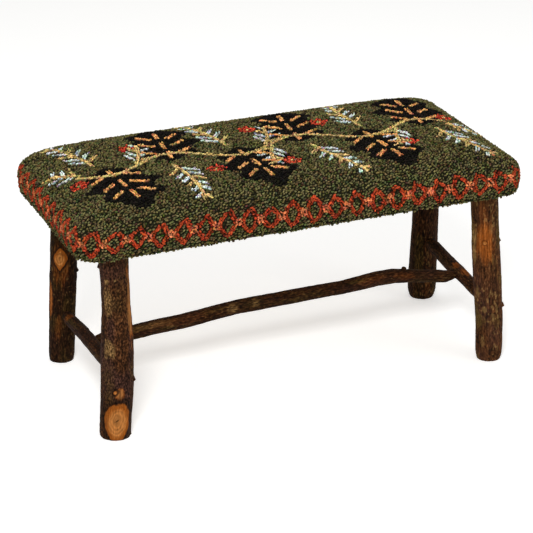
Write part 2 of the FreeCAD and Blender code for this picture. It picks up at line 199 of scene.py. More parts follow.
# %% [markdown]
# ## A white world
# The bench is shown on plain white. A bright white world would give that, but it would also pour
# light on the dark bark. So camera rays see a white world, while everything else is lit by a plain
# grey one.

# %% World
WHITE = (1.0, 1.0, 1.0, 1.0)
WORLD_COLOR = (1.0, 0.99, 0.97, 1.0)
WORLD_LIGHT = 0.42


def seen_directly(tree):
    """1 where the camera sees a thing itself, in a mirror or through glass, else 0."""
    path = tree.nodes.new("ShaderNodeLightPath")
    total = path.outputs["Is Camera Ray"]
    for name in ("Is Glossy Ray", "Is Transmission Ray"):
        add = tree.nodes.new("ShaderNodeMath")
        add.operation = "MAXIMUM"
        tree.links.new(total, add.inputs[0])
        tree.links.new(path.outputs[name], add.inputs[1])
        total = add.outputs[0]
    return total


def set_world():
    """A world that lights softly and shows as white."""
    world = bpy.data.worlds.new("studio")
    world.use_nodes = True
    tree = world.node_tree
    light = tree.nodes["Background"]
    light.inputs["Color"].default_value = WORLD_COLOR
    light.inputs["Strength"].default_value = WORLD_LIGHT
    white = tree.nodes.new("ShaderNodeBackground")
    white.inputs["Color"].default_value = WHITE
    mix = tree.nodes.new("ShaderNodeMixShader")
    tree.links.new(seen_directly(tree), mix.inputs["Fac"])
    tree.links.new(light.outputs[0], mix.inputs[1])
    tree.links.new(white.outputs[0], mix.inputs[2])
    tree.links.new(mix.outputs[0], tree.nodes["World Output"].inputs["Surface"])
    bpy.context.scene.world = world


set_world()
bpy.context.scene.view_settings.view_transform = "Standard"
print("world light", WORLD_LIGHT)

# %% [markdown]
# ## Floor and lamps
# The bench stands on white paper, softly lit from the front left, with nothing on the floor but a
# faint shadow. Blender can make a floor that catches only shadows, but then the white has to be put
# behind it in a second step. This is a real, pale floor, lifted towards white for the camera.

# %% Floor and lamps
FLOOR_REACH = 30.0
FLOOR_COLOR = (0.86, 0.86, 0.85, 1.0)
FLOOR_LIFT = 0.42
# name, place, aim and width in metres, watts
LAMPS = (
    ("key_lamp", (-1.3, -2.4, 2.6), (0.0, 0.0, 0.25), 0.9, 78.0),
    ("fill_lamp", (2.4, -2.2, 1.3), (0.0, 0.0, 0.2), 1.4, 16.0),
    ("top_lamp", (0.2, 0.4, 2.8), (0.0, 0.0, 0.3), 1.2, 16.0),
)


def set_floor():
    """A wide pale floor that keeps the shadow, lifted towards white for the camera."""
    mesh = bpy.data.meshes.new("floor")
    corners = [(x * FLOOR_REACH, y * FLOOR_REACH, 0) for x, y in ((-1, -1), (1, -1), (1, 1), (-1, 1))]
    mesh.from_pydata(corners, [], [(0, 1, 2, 3)])
    finish = Finish("floor_paper", Roughness=1.0, Base_Color=FLOOR_COLOR, Specular_IOR_Level=0.0,
                    Emission_Color=WHITE)
    lift = finish.node("Math", operation="MULTIPLY")
    lift.inputs[1].default_value = FLOOR_LIFT
    finish.join(seen_directly(finish.tree), lift.inputs[0])
    finish.join(lift.outputs[0], finish.shader.inputs["Emission Strength"])
    mesh.materials.append(finish.material)
    show("floor", mesh)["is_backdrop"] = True


def set_lamp(name, place, aim, width, watts):
    """A square soft lamp pointed at a spot."""
    lamp = bpy.data.lights.new(name, "AREA")
    lamp.size = width
    lamp.energy = watts
    holder = show(name, lamp)
    holder.location = place
    holder.rotation_euler = (Vector(aim) - Vector(place)).to_track_quat("-Z", "Y").to_euler()


set_floor()
for lamp in LAMPS:
    set_lamp(*lamp)
print("a floor and", len(LAMPS), "soft lamps")

# %% [markdown]
# ## Meshes from arrays
# The bark and the wool are both made of very many small facts: a height for each spot of bark,
# a place for each loop of yarn. Arrays hold such facts well, so the meshes are built from arrays
# in one go, and edit mode isn't used. Sizes are in millimetres until this last step.

# %% Build a piece from arrays


def make_piece(name, points, face_sets, slot, replaced=(), paint=None):
    """A mesh piece that rides on the bench. paint is (attribute name, a colour for each point).
    A fourth number with a colour is stored as its alpha."""
    corners = np.concatenate([np.asarray(f).ravel() for f in face_sets]).astype(np.int32)
    sizes = np.concatenate([np.full(len(f), np.shape(f)[1]) for f in face_sets])
    starts = np.concatenate([[0], np.cumsum(sizes)[:-1]]).astype(np.int32)
    mesh = bpy.data.meshes.new(name)
    mesh.vertices.add(len(points))
    mesh.vertices.foreach_set("co", np.ascontiguousarray(points * MM, dtype=np.float32).ravel())
    mesh.loops.add(len(corners))
    mesh.loops.foreach_set("vertex_index", corners)
    mesh.polygons.add(len(sizes))
    mesh.polygons.foreach_set("loop_start", starts)
    mesh.update(calc_edges=True)
    mesh.polygons.foreach_set("use_smooth", np.full(len(sizes), True))
    if paint:
        colors = np.ones((len(points), 4), dtype=np.float32)
        colors[:, :np.shape(paint[1])[1]] = paint[1]
        layer = mesh.color_attributes.new(paint[0], "FLOAT_COLOR", "POINT")
        layer.data.foreach_set("color", colors.ravel())
    piece = show(name, mesh)
    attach(piece, "root")
    if replaced:
        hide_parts(*replaced)
    return piece


def grid_faces(rows, columns, first=0):
    """Four-cornered faces between rows of points that close round on themselves."""
    row = np.arange(rows - 1)[:, None] * columns
    column = np.arange(columns)[None, :]
    nearby = (column + 1) % columns
    quads = np.stack([row + column, row + nearby, row + columns + nearby, row + columns + column], -1)
    return quads.reshape(-1, 4) + first


def fan_faces(ring_start, columns, middle, up):
    """Triangles from a ring of points to the point in its middle."""
    here = ring_start + np.arange(columns)
    there = ring_start + (np.arange(columns) + 1) % columns
    hub = np.full(columns, middle)
    return np.column_stack([here, there, hub] if up else [there, here, hub])


print("mesh helpers ready")

# %% [markdown]
# ## Noise and blends
# Bark and hems are uneven in every spot. Blender has noise for its shaders, but here the same
# unevenness has to shape a mesh and colour it, so a small noise function works on arrays of points:
# each corner of a grid gets a number by chance, always the same one, and points between the corners
# get a smooth mix of them.

# %% Noise and blends on arrays
CELL_PRIMES = (73856093, 19349663, 83492791)
SEED_PRIME = 2654435761
STIR_PRIME = 1274126177
STIR_BITS = 0x7FFFFFFF
KEPT_BITS = 0xFFFF
FIRST_SHIFT, SECOND_SHIFT = 13, 15


def value_noise(points, seed):
    """Smooth noise from -1 to 1 at an array of points, with bumps about one unit wide."""
    cell = np.floor(points).astype(np.int64)
    part = points - cell
    part = part * part * (3 - 2 * part)
    total = np.zeros(len(points))
    for corner in np.ndindex(2, 2, 2):
        ix, iy, iz = ((cell + np.array(corner)) * CELL_PRIMES).T
        mixed = ix ^ iy ^ iz ^ (seed * SEED_PRIME)
        mixed = ((mixed ^ (mixed >> FIRST_SHIFT)) * STIR_PRIME) & STIR_BITS
        mixed = (mixed ^ (mixed >> SECOND_SHIFT)) & KEPT_BITS
        total += mixed * np.prod(np.where(corner, part, 1 - part), axis=1)
    return total / (KEPT_BITS / 2) - 1


def ease(value, low, high):
    """0 below low, 1 above high, and a smooth step between."""
    share = np.clip((value - low) / (high - low), 0, 1)
    return share * share * (3 - 2 * share)


def blend(first, second, share):
    """Colours between two colours, by an array of shares."""
    return np.asarray(first) + (np.asarray(second) - first) * np.asarray(share)[..., None]


print("noise at the origin:", value_noise(np.zeros((1, 3)), 1).round(3))

# %% [markdown]
# ## Reading the poles
# The CAD poles are right in size, bend and knots but have flat facets. A smooth pole could be
# drawn again from a curve, but then it might not match. Instead rays are sent in towards each
# pole's middle line from all round it, and the distances become a map of the pole's radius.
# Holes that are there for tenons show up as sudden dips and are bridged over.

# %% Read a pole's radius all round
RAY_REACH = 70.0
RING_POINTS = 20
HOLE_DIP = 0.8


def mesh_points(mesh):
    """A mesh's points, in millimetres."""
    points = np.empty(len(mesh.vertices) * 3, dtype=np.float32)
    mesh.vertices.foreach_get("co", points)
    return points.reshape(-1, 3).astype(float) / MM


def mesh_tree(mesh, points):
    """A mesh's faces between points, ready for rays."""
    return BVHTree.FromPolygons(points.tolist(), [tuple(p.vertices) for p in mesh.polygons])


def middle_line(points, axis, least_width):
    """The middles of the rings that a pole was skinned through, by their place along the axis."""
    across = [k for k in range(3) if k != axis]
    level = points[:, axis].round(2)
    middles = []
    for place in np.unique(level):
        ring = points[level == place][:, across]
        if len(ring) >= RING_POINTS and np.ptp(ring, axis=0).min() > least_width:
            middles.append((place, *((ring.min(0) + ring.max(0)) / 2)))
    return np.array(middles)


def read_pole(node, axis, places, around, least_width):
    """Middles and radii of a pole at places along an axis, and the angles that were looked at."""
    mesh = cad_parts[node].data
    points = mesh_points(mesh)
    tree = mesh_tree(mesh, points)
    line = middle_line(points, axis, least_width)
    across = [k for k in range(3) if k != axis]
    angles = np.arange(around) * 2 * np.pi / around
    middles = np.zeros((len(places), 3))
    middles[:, axis] = places
    for k, column in zip(across, (1, 2)):
        middles[:, k] = np.interp(places, line[:, 0], line[:, column])
    out = np.zeros((around, 3))
    out[:, across[0]] = np.cos(angles)
    out[:, across[1]] = np.sin(angles)
    radii = np.full((len(places), around), np.nan)
    ways = [Vector(o) for o in out]
    for i, middle in enumerate(middles):
        middle = Vector(middle)
        for j, way in enumerate(ways):
            distance = tree.ray_cast(middle + way * RAY_REACH, -way, RAY_REACH)[3]
            if distance is not None:
                radii[i, j] = RAY_REACH - distance
        radii[i, radii[i] < HOLE_DIP * np.nanmedian(radii[i])] = np.nan
        found = ~np.isnan(radii[i])
        radii[i] = np.interp(angles, angles[found], radii[i, found], period=2 * np.pi)
    return {"node": node, "axis": axis, "places": places, "angles": angles, "middles": middles,
            "out": out, "radii": radii}


print("rays start", RAY_REACH, "mm from a pole's middle")

# %% [markdown]
# The four legs are read along the height. The rows are about a millimetre apart, which is fine
# enough for the furrows that come later, and three more rows go up the tenon into the board.

# %% Read the legs
LEGS = ("leg_front_left", "leg_front_right", "leg_back_left", "leg_back_right")
LEG_TOP = 328.0
TENON_TOP = 346.5
LEG_STEP = 1.1
LEG_AROUND = 168
LEG_LEAST_WIDTH = 30.0
FOOT_LIFT = 0.05
SHOULDER_STEP = 0.1
body_places = np.linspace(FOOT_LIFT, LEG_TOP - SHOULDER_STEP, round(LEG_TOP / LEG_STEP))
tenon_places = [LEG_TOP + SHOULDER_STEP, (LEG_TOP + TENON_TOP) / 2, TENON_TOP]
leg_places = np.concatenate([body_places, tenon_places])
poles = {leg: read_pole(leg, 2, leg_places, LEG_AROUND, LEG_LEAST_WIDTH) for leg in LEGS}
for leg in LEGS:
    radii = poles[leg]["radii"][:len(body_places)]
    print(leg, "radius", radii.min().round(1), "to", radii.max().round(1))

# %% [markdown]
# The stretchers are read in the same way, the side ones along the depth of the bench and the
# long one along its length. The places run on into the legs a little, where the thin tenons
# are, so that no gap shows at a joint.

# %% Read the stretchers
STRETCHER_STEP = 1.1
STRETCHER_AROUND = 76
STRETCHER_LEAST_WIDTH = 12.0
# axis, how far the map runs on into a joint, and how much of each end has no bark
STRETCHERS = {"side_stretcher_left": (1, 20.0, 18.0), "side_stretcher_right": (1, 20.0, 18.0),
              "center_stretcher": (0, 9.0, 8.0)}
for name, (axis, into_joint, _) in STRETCHERS.items():
    line = middle_line(mesh_points(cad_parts[name].data), axis, STRETCHER_LEAST_WIDTH)
    ends = line[[0, -1], 0] + np.array([-into_joint, into_joint])
    places = np.linspace(*ends, round((ends[1] - ends[0]) / STRETCHER_STEP))
    poles[name] = read_pole(name, axis, places, STRETCHER_AROUND, STRETCHER_LEAST_WIDTH)
    print(name, "from", ends[0].round(1), "to", ends[1].round(1), "mm")

# %% [markdown]
# ## Where the bark is cut, knotted or bare
# Each pole has its own marks, and a viewer knows the bench by them. A branch sawn off flush shows
# a pale oval of end grain; a rubbed place shows orange sapwood; lichen leaves tan patches. The
# marks are listed by the height on the pole, the bearing round it, and half their width and
# height, so each one can be moved by changing a number. On a stretcher, height is the place along it.

# %% List the marks on the poles
# height, bearing, half width and half height of the cut, its roundness, how clean the wood is, and
# how far the dark collar of bark round it reaches
SAWN_KNOTS = {
    "leg_front_left": ((32.5, 256.0, 19.5, 33.0, 2.0, 1.0, 3.0), (87.9, 244.0, 2.6, 2.8, 2.0, 1.2, 3.0)),
    "leg_front_right": ((233.9, 239.0, 3.4, 3.6, 2.0, 1.0, 0.4),),
    "leg_back_left": ((204.0, 238.0, 12.0, 20.0, 1.3, 1.14, 2.0),),
}
# height, bearing, reach
TWIG_STUBS = {
    "leg_front_left": ((300.0, 160.0, 11.0), (100.0, 338.0, 12.0)),
    "leg_front_right": ((230.0, 340.0, 10.0), (103.0, 338.0, 10.0)),
    "leg_back_left": ((174.0, 336.0, 10.0),),
    "leg_back_right": ((153.0, 200.0, 9.0),),
    "center_stretcher": ((253.0, 85.0, 12.0),),
}
# height, bearing, half width, half height, how much bark is gone, how soft its edge is
RUBBED_PLACES = {
    "leg_front_left": ((234.0, 321.0, 7.0, 64.0, 1.0, 0.15), (84.0, 259.0, 8.0, 9.0, 0.95, 0.3)),
    "leg_front_right": ((236.0, 238.0, 15.0, 37.0, 0.88, 0.45), (292.0, 234.0, 7.0, 24.0, 0.3, 0.6)),
    "leg_back_left": ((196.0, 238.0, 14.0, 36.0, 0.42, 0.6), (121.0, 189.0, 5.5, 28.0, 0.85, 0.4),
                      (70.0, 232.0, 6.0, 22.0, 0.2, 0.6)),
    "leg_back_right": ((240.0, 262.0, 5.0, 36.0, 0.2, 0.6), (40.0, 268.0, 5.0, 22.0, 0.2, 0.6)),
    "side_stretcher_right": ((-13.0, 100.0, 6.0, 10.0, 0.6, 0.5), (-46.0, 80.0, 7.0, 14.0, 0.6, 0.5)),
    "side_stretcher_left": ((92.0, 120.0, 9.0, 8.0, 0.4, 0.5),),
    "center_stretcher": ((-190.0, 140.0, 7.0, 70.0, 0.1, 0.7), (186.0, 150.0, 6.0, 26.0, 0.13, 0.6),
                         (252.0, 160.0, 6.0, 20.0, 0.18, 0.6)),
}
# height, bearing, half width, half height, strength, softness
LICHEN_PLACES = {
    "leg_front_left": ((245.0, 216.0, 10.0, 22.0, 0.62, 0.45), (164.0, 219.0, 10.5, 16.0, 0.85, 0.3),
                       (281.0, 217.0, 4.0, 5.0, 0.7, 0.4), (284.0, 251.0, 2.0, 2.0, 1.0, 0.3)),
    "leg_front_right": ((240.0, 190.0, 5.0, 15.0, 1.0, 0.25), (208.0, 187.0, 4.0, 20.0, 1.0, 0.25),
                        (277.0, 246.0, 2.5, 4.0, 0.9, 0.3), (258.0, 268.0, 3.0, 9.0, 0.8, 0.4),
                        (103.0, 223.0, 4.0, 6.0, 0.9, 0.3), (88.0, 262.0, 3.0, 8.0, 0.9, 0.3),
                        (136.0, 196.0, 4.0, 10.0, 0.8, 0.4), (40.0, 214.0, 3.0, 12.0, 0.7, 0.4)),
    "leg_back_right": ((262.0, 250.0, 9.0, 9.0, 0.7, 0.4),),
    "center_stretcher": ((-80.0, 150.0, 8.0, 8.0, 0.5, 0.5), (-36.0, 145.0, 7.0, 6.0, 0.4, 0.5),
                         (-230.0, 130.0, 6.0, 40.0, 0.35, 0.6)),
}
# how thickly small specks of lichen are sprinkled
LICHEN_SPECKS = {"leg_front_right": 0.75, "leg_back_left": 0.5, "leg_back_right": 0.35,
                 "center_stretcher": 0.35}
print("marks listed for", len(set(SAWN_KNOTS) | set(RUBBED_PLACES) | set(LICHEN_PLACES)), "poles")

# %% [markdown]
# ## Finding a mark on a pole
# A mark is an oval on the bark, and its edge is torn along the grain. It could be painted by hand
# on an image, but then it wouldn't move with its number. Here the distance of every spot from the
# middle of the mark is measured round the pole and along it, and noise is added to that distance.

# %% Masks for marks, and noise on bark
# Noise is in layers. A layer has the width of a patch round the pole, its length along it, a seed
# and a share.
TORN_EDGE = ((2.6, 30.0, 11, 1.0), (1.6, 6.0, 12, 0.6))
NOISE_RADIUS = 26.0
POLE_SEED = 7


def across_and_along(pole, height, bearing):
    """How far each spot of a pole lies from a mark, round the pole and along it."""
    turn = (pole["angles"] - math.radians(bearing) + np.pi) % (2 * np.pi) - np.pi
    return pole["radii"] * np.sin(turn / 2) * 2, (pole["places"] - height)[:, None]


def bark_points(pole, width, length):
    """Points for noise on a pole, in patches of a width and a length, with no seam."""
    spots = np.repeat(pole["out"][None] * NOISE_RADIUS / width, len(pole["places"]), axis=0)
    spots[..., pole["axis"]] = pole["places"][:, None] / length
    return spots.reshape(-1, 3)


def bark_noise(pole, layers):
    """Noise on a pole, which differs from pole to pole."""
    own_seed = POLE_SEED * sum(map(ord, pole["node"]))
    total = np.zeros(pole["radii"].shape)
    for width, length, seed, share in layers:
        noise = value_noise(bark_points(pole, width, length), seed + own_seed)
        total += share * noise.reshape(total.shape)
    return total


def mark_mask(pole, marks, ragged):
    """How strongly the listed ovals cover each spot, with edges torn along the grain."""
    mask = np.zeros(pole["radii"].shape)
    edge = ragged * bark_noise(pole, TORN_EDGE)
    for height, bearing, half_width, half_height, strength, softness in marks:
        across, along = across_and_along(pole, height, bearing)
        far = np.hypot(across / half_width, along / half_height) + edge
        mask = np.maximum(mask, strength * (1 - ease(far, 1 - softness, 1 + softness)))
    return mask


def knot_ovals(name, grow, softness):
    """A pole's sawn knots as marks, as large as the cut or a little larger."""
    return [(h, b, w * grow, t * grow, 1.0, softness) for h, b, w, t, *_ in SAWN_KNOTS.get(name, ())]


for name, pole in poles.items():
    share = mark_mask(pole, RUBBED_PLACES.get(name, ()), 0.0).mean()
    print(name, "rubbed bare on", round(100 * share, 1), "percent")

# %% [markdown]
# ## Rounding off the facets
# The CAD skin is flat between its sections, and a real pole isn't. A subdivision surface would round
# it off but also shrink it. Here the map of radii is smoothed instead: the quick waves round the
# pole are taken out, and each row is averaged with the rows next to it.

# %% Smooth a map of radii
# waves round the pole and rows along it that the facets are smoothed over
SMOOTH_WAVES = 9.0
SMOOTH_ROWS = 7


def smoothed(radii):
    """The radius map with the facets between the CAD sections rounded off."""
    count = radii.shape[1]
    waves = np.fft.rfftfreq(count, 1 / count)
    kept = np.exp(-(waves / SMOOTH_WAVES) ** 4)
    soft = np.fft.irfft(np.fft.rfft(radii, axis=1) * kept, count, axis=1)
    reach = 3 * SMOOTH_ROWS
    weights = np.exp(-0.5 * (np.arange(-reach, reach + 1) / SMOOTH_ROWS) ** 2)
    padded = np.pad(soft, ((reach, reach), (0, 0)), mode="edge")
    return np.apply_along_axis(np.convolve, 0, padded, weights / weights.sum(), "valid")


for leg in LEGS:
    radii = poles[leg]["radii"][:len(body_places)]
    print(leg, "is smoothed by", np.abs(smoothed(radii) - radii).mean().round(2), "mm")

# %% [markdown]
# ## The bark's relief
# Young bark has shallow furrows that run along the pole, with finer wrinkles between them. A bump
# in the material would look right from the front but leave the pole's edge as smooth as a pipe,
# so the furrows are pushed into the mesh. Where bark is rubbed off, the wood under it lies lower
# by the bark's thickness, and a sawn knot stays flat.

# %% Shape the bark
BARK_THICKNESS = 0.8
FURROW_DEPTH = 0.85
WRINKLE_DEPTH = 0.32
SWELL_HEIGHT = 0.6
FURROWS = ((4.6, 42.0, 1, 1.0),)
FURROW_STRENGTH = ((9.0, 60.0, 2, 1.0),)
WRINKLES = ((1.9, 8.0, 3, 1.0), (1.1, 3.0, 4, 0.6))
SWELLS = ((22.0, 45.0, 5, 1.0), (9.0, 18.0, 6, 0.5))
FURROW_SHARPNESS = 2.2
FURROW_MEAN, FURROW_VARIES = 0.55, 0.45
KNOT_EDGE = 0.05
KNOT_SURROUND, SURROUND_EDGE = 1.3, 0.2
STUB_EDGE = 0.3
RAGGED_BARK = 0.3
RUBBED_SMOOTH = 0.85


def shape_bark(pole, body_rows):
    """Rounds a pole's facets, then adds furrows, wrinkles and the lower, rubbed places."""
    name = pole["node"]
    raw = pole["radii"].copy()
    knots = mark_mask(pole, knot_ovals(name, 1.0, KNOT_EDGE), 0.0)
    stubs = [(h, b, r, r, 1.0, STUB_EDGE) for h, b, r in TWIG_STUBS.get(name, ())]
    keep = np.maximum(mark_mask(pole, knot_ovals(name, KNOT_SURROUND, SURROUND_EDGE), 0.0),
                      mark_mask(pole, stubs, 0.0))
    radii = raw.copy()
    radii[body_rows] = smoothed(raw[body_rows])
    radii += keep * (raw - radii)
    rubbed = mark_mask(pole, RUBBED_PLACES.get(name, ()), RAGGED_BARK) * (1 - knots)
    furrow = 1 - np.abs(bark_noise(pole, FURROWS)) * FURROW_SHARPNESS
    furrow = np.clip(furrow, 0, 1) * (FURROW_MEAN + FURROW_VARIES * bark_noise(pole, FURROW_STRENGTH))
    furrow = np.clip(furrow, 0, 1)
    wrinkle = bark_noise(pole, WRINKLES)
    swell = bark_noise(pole, SWELLS)
    relief = SWELL_HEIGHT * swell - FURROW_DEPTH * furrow + WRINKLE_DEPTH * wrinkle
    relief = relief * (1 - RUBBED_SMOOTH * rubbed) - BARK_THICKNESS * rubbed
    relief *= 1 - knots
    relief[~body_rows] = 0
    pole.update(radii=radii + relief, rubbed=rubbed, furrow=furrow, wrinkle=wrinkle, swell=swell,
                body=body_rows)


for name, pole in poles.items():
    places = pole["places"]
    if name in LEGS:
        bark_rows = (places < LEG_TOP) & (places > 0)
    else:
        bare_end = STRETCHERS[name][2]
        bark_rows = (places > places[0] + bare_end) & (places < places[-1] - bare_end)
    shape_bark(pole, bark_rows)
    print(name, "relief on", int(bark_rows.sum()), "rows of", pole["radii"].shape[1])

# %% [markdown]
# ## The face of a sawn knot
# Where a branch was sawn off, the cut shows the branch's own rings round its heart, a crack that
# opened as it dried, and a reddish rim where the bark begins. An image would need a photograph;
# the rings are only a sine of the distance from the heart, so they are worked out for each spot.

# %% Colour the sawn knots
DEEP_BARK = np.array((0.010, 0.0045, 0.002))
SAWN_WOOD = np.array((0.48, 0.182, 0.044))
SAWN_RIM = np.array((0.27, 0.076, 0.010))
SAWN_HEART = np.array((0.24, 0.095, 0.025))
PALE_RING, DARK_RING = 1.1, 0.4
RING_WANDER = ((5.0, 8.0, 21, 1.0),)
END_GRAIN = ((1.2, 14.0, 22, 1.0),)
# how much wider a cut is towards its top, and how far above its middle the heart lies
EGG_WIDTH, EGG_TAPER, EGG_LIMIT = 1.06, 0.16, 1.2
HEART_LIFT = 0.16
RING_RADIANS_PER_MM = 1.5
RING_SWAY = 2.2
RING_PLAIN = 0.4
HEART_SWAY, HEART_DARK = 0.1, 0.75
RIM_SWAY, RIM_GRAIN = 0.05, 0.14
CRACK_SLOPE, CRACK_SWAY, CRACK_FADE, CRACK_DARK = 0.7, 1.6, 0.4, 0.9
COLLAR_FADE = 1.35
# where each begins and ends, as shares of the way from the heart or the middle to the rim
RING_START, HEART_EDGE, RIM_START, CRACK_EDGE = (0.08, 0.4), (0.1, 0.45), (0.62, 0.98), (0.03, 0.13)
COLLAR_START, FACE_EDGE = (0.95, 1.05), (1.0, 1.1)


def knot_colors(pole, height, bearing, half_width, half_height, roundness, clean, collar):
    """A knot's face, how much of each spot it covers, and how much its dark collar covers."""
    across, along = across_and_along(pole, height, bearing)
    wander = bark_noise(pole, RING_WANDER)
    up = along / half_height
    egg = half_width * (EGG_WIDTH + EGG_TAPER * np.clip(up, -EGG_LIMIT, EGG_LIMIT))
    far = (np.abs(across / egg) ** roundness + np.abs(up) ** roundness) ** (1 / roundness)
    far = far + RIM_SWAY * wander
    heart_lift = HEART_LIFT * half_height
    from_heart = np.hypot(across / egg, (along - heart_lift) / half_height)
    rings = 0.5 + 0.5 * np.sin(from_heart * half_width * RING_RADIANS_PER_MM + RING_SWAY * wander)
    grain = 0.5 + 0.5 * bark_noise(pole, END_GRAIN)
    ringed = rings * ease(from_heart, *RING_START) * (RING_PLAIN + (1 - RING_PLAIN) * grain)
    colors = blend(SAWN_WOOD * PALE_RING, SAWN_WOOD * DARK_RING, ringed)
    heart = 1 - ease(from_heart + HEART_SWAY * wander, *HEART_EDGE)
    colors = blend(colors, SAWN_HEART, heart * HEART_DARK)
    colors = blend(colors, SAWN_RIM, ease(far + RIM_GRAIN * grain, *RIM_START))
    crack = np.abs(along - heart_lift - CRACK_SLOPE * across - CRACK_SWAY * wander)
    crack = crack + CRACK_FADE * np.abs(across)
    colors = blend(colors, DEEP_BARK, (1 - ease(crack / half_width, *CRACK_EDGE)) * CRACK_DARK)
    reach = 1 + collar / half_width
    ring_of_bark = ease(far, *COLLAR_START) * (1 - ease(far, reach, COLLAR_FADE * reach))
    return colors * clean, 1 - ease(far, *FACE_EDGE), ring_of_bark


print("knots to colour:", sum(map(len, SAWN_KNOTS.values())))

# %% [markdown]
# ## The bark's colours
# Seen close, this bark isn't one brown. Ridges are paler and furrows are nearly black, partly as the
# bark's own colour and partly as painted light on the raised bark and painted shade in the furrows.
# Broad patches lean to plum grey or to olive. The colour of each spot is worked out from the same
# relief that shaped it, and stored on the mesh, so a furrow is dark exactly where it is deep. Each
# pole's tone also holds painted shade, which darkens the back legs and the stretchers under the seat.

# %% Colour plain bark
BARK = np.array((0.070, 0.026, 0.009))
RIDGE_BARK = np.array((0.200, 0.090, 0.034))
PLUM_BARK = np.array((0.060, 0.026, 0.018))
OLIVE_BARK = np.array((0.090, 0.053, 0.014))
# how each pole's colour is scaled: partly the bark's own tone, partly painted shade that darkens the back
# legs and the stretchers under the seat
POLE_TONE_AND_SHADE = {"leg_front_left": 0.76, "leg_front_right": 1.2, "leg_back_left": 0.36,
             "leg_back_right": 0.5, "side_stretcher_left": 0.46, "side_stretcher_right": 0.6,
             "center_stretcher": 0.5}
PLUM_SHARE = {"leg_front_left": 0.95}
USUAL_PLUM = 0.4
OLIVE_SHARE = {"leg_front_right": 0.9, "leg_back_left": 0.8, "leg_back_right": 0.9,
               "side_stretcher_left": 0.9, "center_stretcher": 0.9}
USUAL_OLIVE = 0.4
STREAKS = ((3.0, 30.0, 31, 1.0), (2.0, 10.0, 32, 0.8))
BLOTCHES = ((2.0, 2.6, 33, 1.0), (3.4, 6.0, 37, 0.6))
PLUM_PATCHES = ((24.0, 50.0, 34, 1.0),)
OLIVE_PATCHES = ((18.0, 40.0, 35, 1.0),)
# how light bark is by itself, and how much each pattern adds to that; higher wrinkles and swells are made
# lighter, partly as painted light on the raised bark
PLAIN_LIGHT, STREAK_LIGHT, WRINKLE_LIGHT, SWELL_LIGHT, BLOTCH_LIGHT = 0.42, 0.18, 0.14, 0.1, 0.32
# how dark the furrows get, partly as dark bark and partly as painted shade in them
FURROW_DARK_AND_SHADE = 0.8
OLIVE_BLOTCH = 0.3
# where one colour begins to turn into the next, and where it has
DEEP_TO_BARK, BARK_TO_RIDGE, TO_PLUM, TO_OLIVE = (0.0, 0.5), (0.5, 1.2), (-0.2, 0.5), (0.05, 0.7)


def plain_bark(pole, blotch):
    """Bark with no marks: furrows darkened partly as painted shade, raised bark lightened partly as
    painted light, patches of plum and olive, and a tone for each pole that holds painted shade under the
    seat.
    """
    name = pole["node"]
    light = PLAIN_LIGHT + STREAK_LIGHT * bark_noise(pole, STREAKS) + WRINKLE_LIGHT * pole["wrinkle"]
    light = light + SWELL_LIGHT * pole["swell"] + BLOTCH_LIGHT * blotch
    colors = blend(DEEP_BARK, BARK, ease(light, *DEEP_TO_BARK))
    colors = blend(colors, RIDGE_BARK, ease(light, *BARK_TO_RIDGE))
    plum = ease(bark_noise(pole, PLUM_PATCHES), *TO_PLUM)
    colors = blend(colors, PLUM_BARK, PLUM_SHARE.get(name, USUAL_PLUM) * plum)
    olive = ease(bark_noise(pole, OLIVE_PATCHES) + OLIVE_BLOTCH * blotch, *TO_OLIVE)
    colors = blend(colors, OLIVE_BARK, OLIVE_SHARE.get(name, USUAL_OLIVE) * olive)
    # furrows are darkened partly as painted shade, and the pole's tone adds painted shade under the seat
    return blend(colors, DEEP_BARK, FURROW_DARK_AND_SHADE * pole["furrow"]) * POLE_TONE_AND_SHADE[name]


print("tones from", min(POLE_TONE_AND_SHADE.values()), "to", max(POLE_TONE_AND_SHADE.values()))

# %% [markdown]
# Over the plain bark come the marks. Lichen lies on the bark, a rubbed place shows the orange sapwood
# under it, and a sawn knot cuts through both, so they are laid on in that order. The share of bark
# that is left is stored beside each colour, for the shader to use.

# %% Colour the marks
SAPWOOD = np.array((0.40, 0.098, 0.010))
PALE_SAPWOOD = np.array((0.46, 0.19, 0.055))
LICHEN = np.array((0.21, 0.122, 0.044))
SAPWOOD_GRAIN = ((1.5, 45.0, 36, 1.0),)
SPRINKLES = ((3.2, 5.0, 38, 1.0), (30.0, 60.0, 39, 0.5))
TO_SPECK, TO_GRAIN, TO_PALE = (0.55, 0.9), (0.25, 0.9), (0.9, 0.97)
RAGGED_LICHEN = 0.35
# how much lichen and bared wood cover, and how much the blotches change that
LICHEN_COVER, LICHEN_BLOTCH = 0.75, 0.35
BARED_COVER, BARED_BLOTCH = 0.9, 0.25
PALE_GRAIN = 0.4
BARED_DARK, GRAIN_LIGHT = 0.48, 0.56
COLLAR_TONE, COLLAR_DARK = 1.4, 0.85


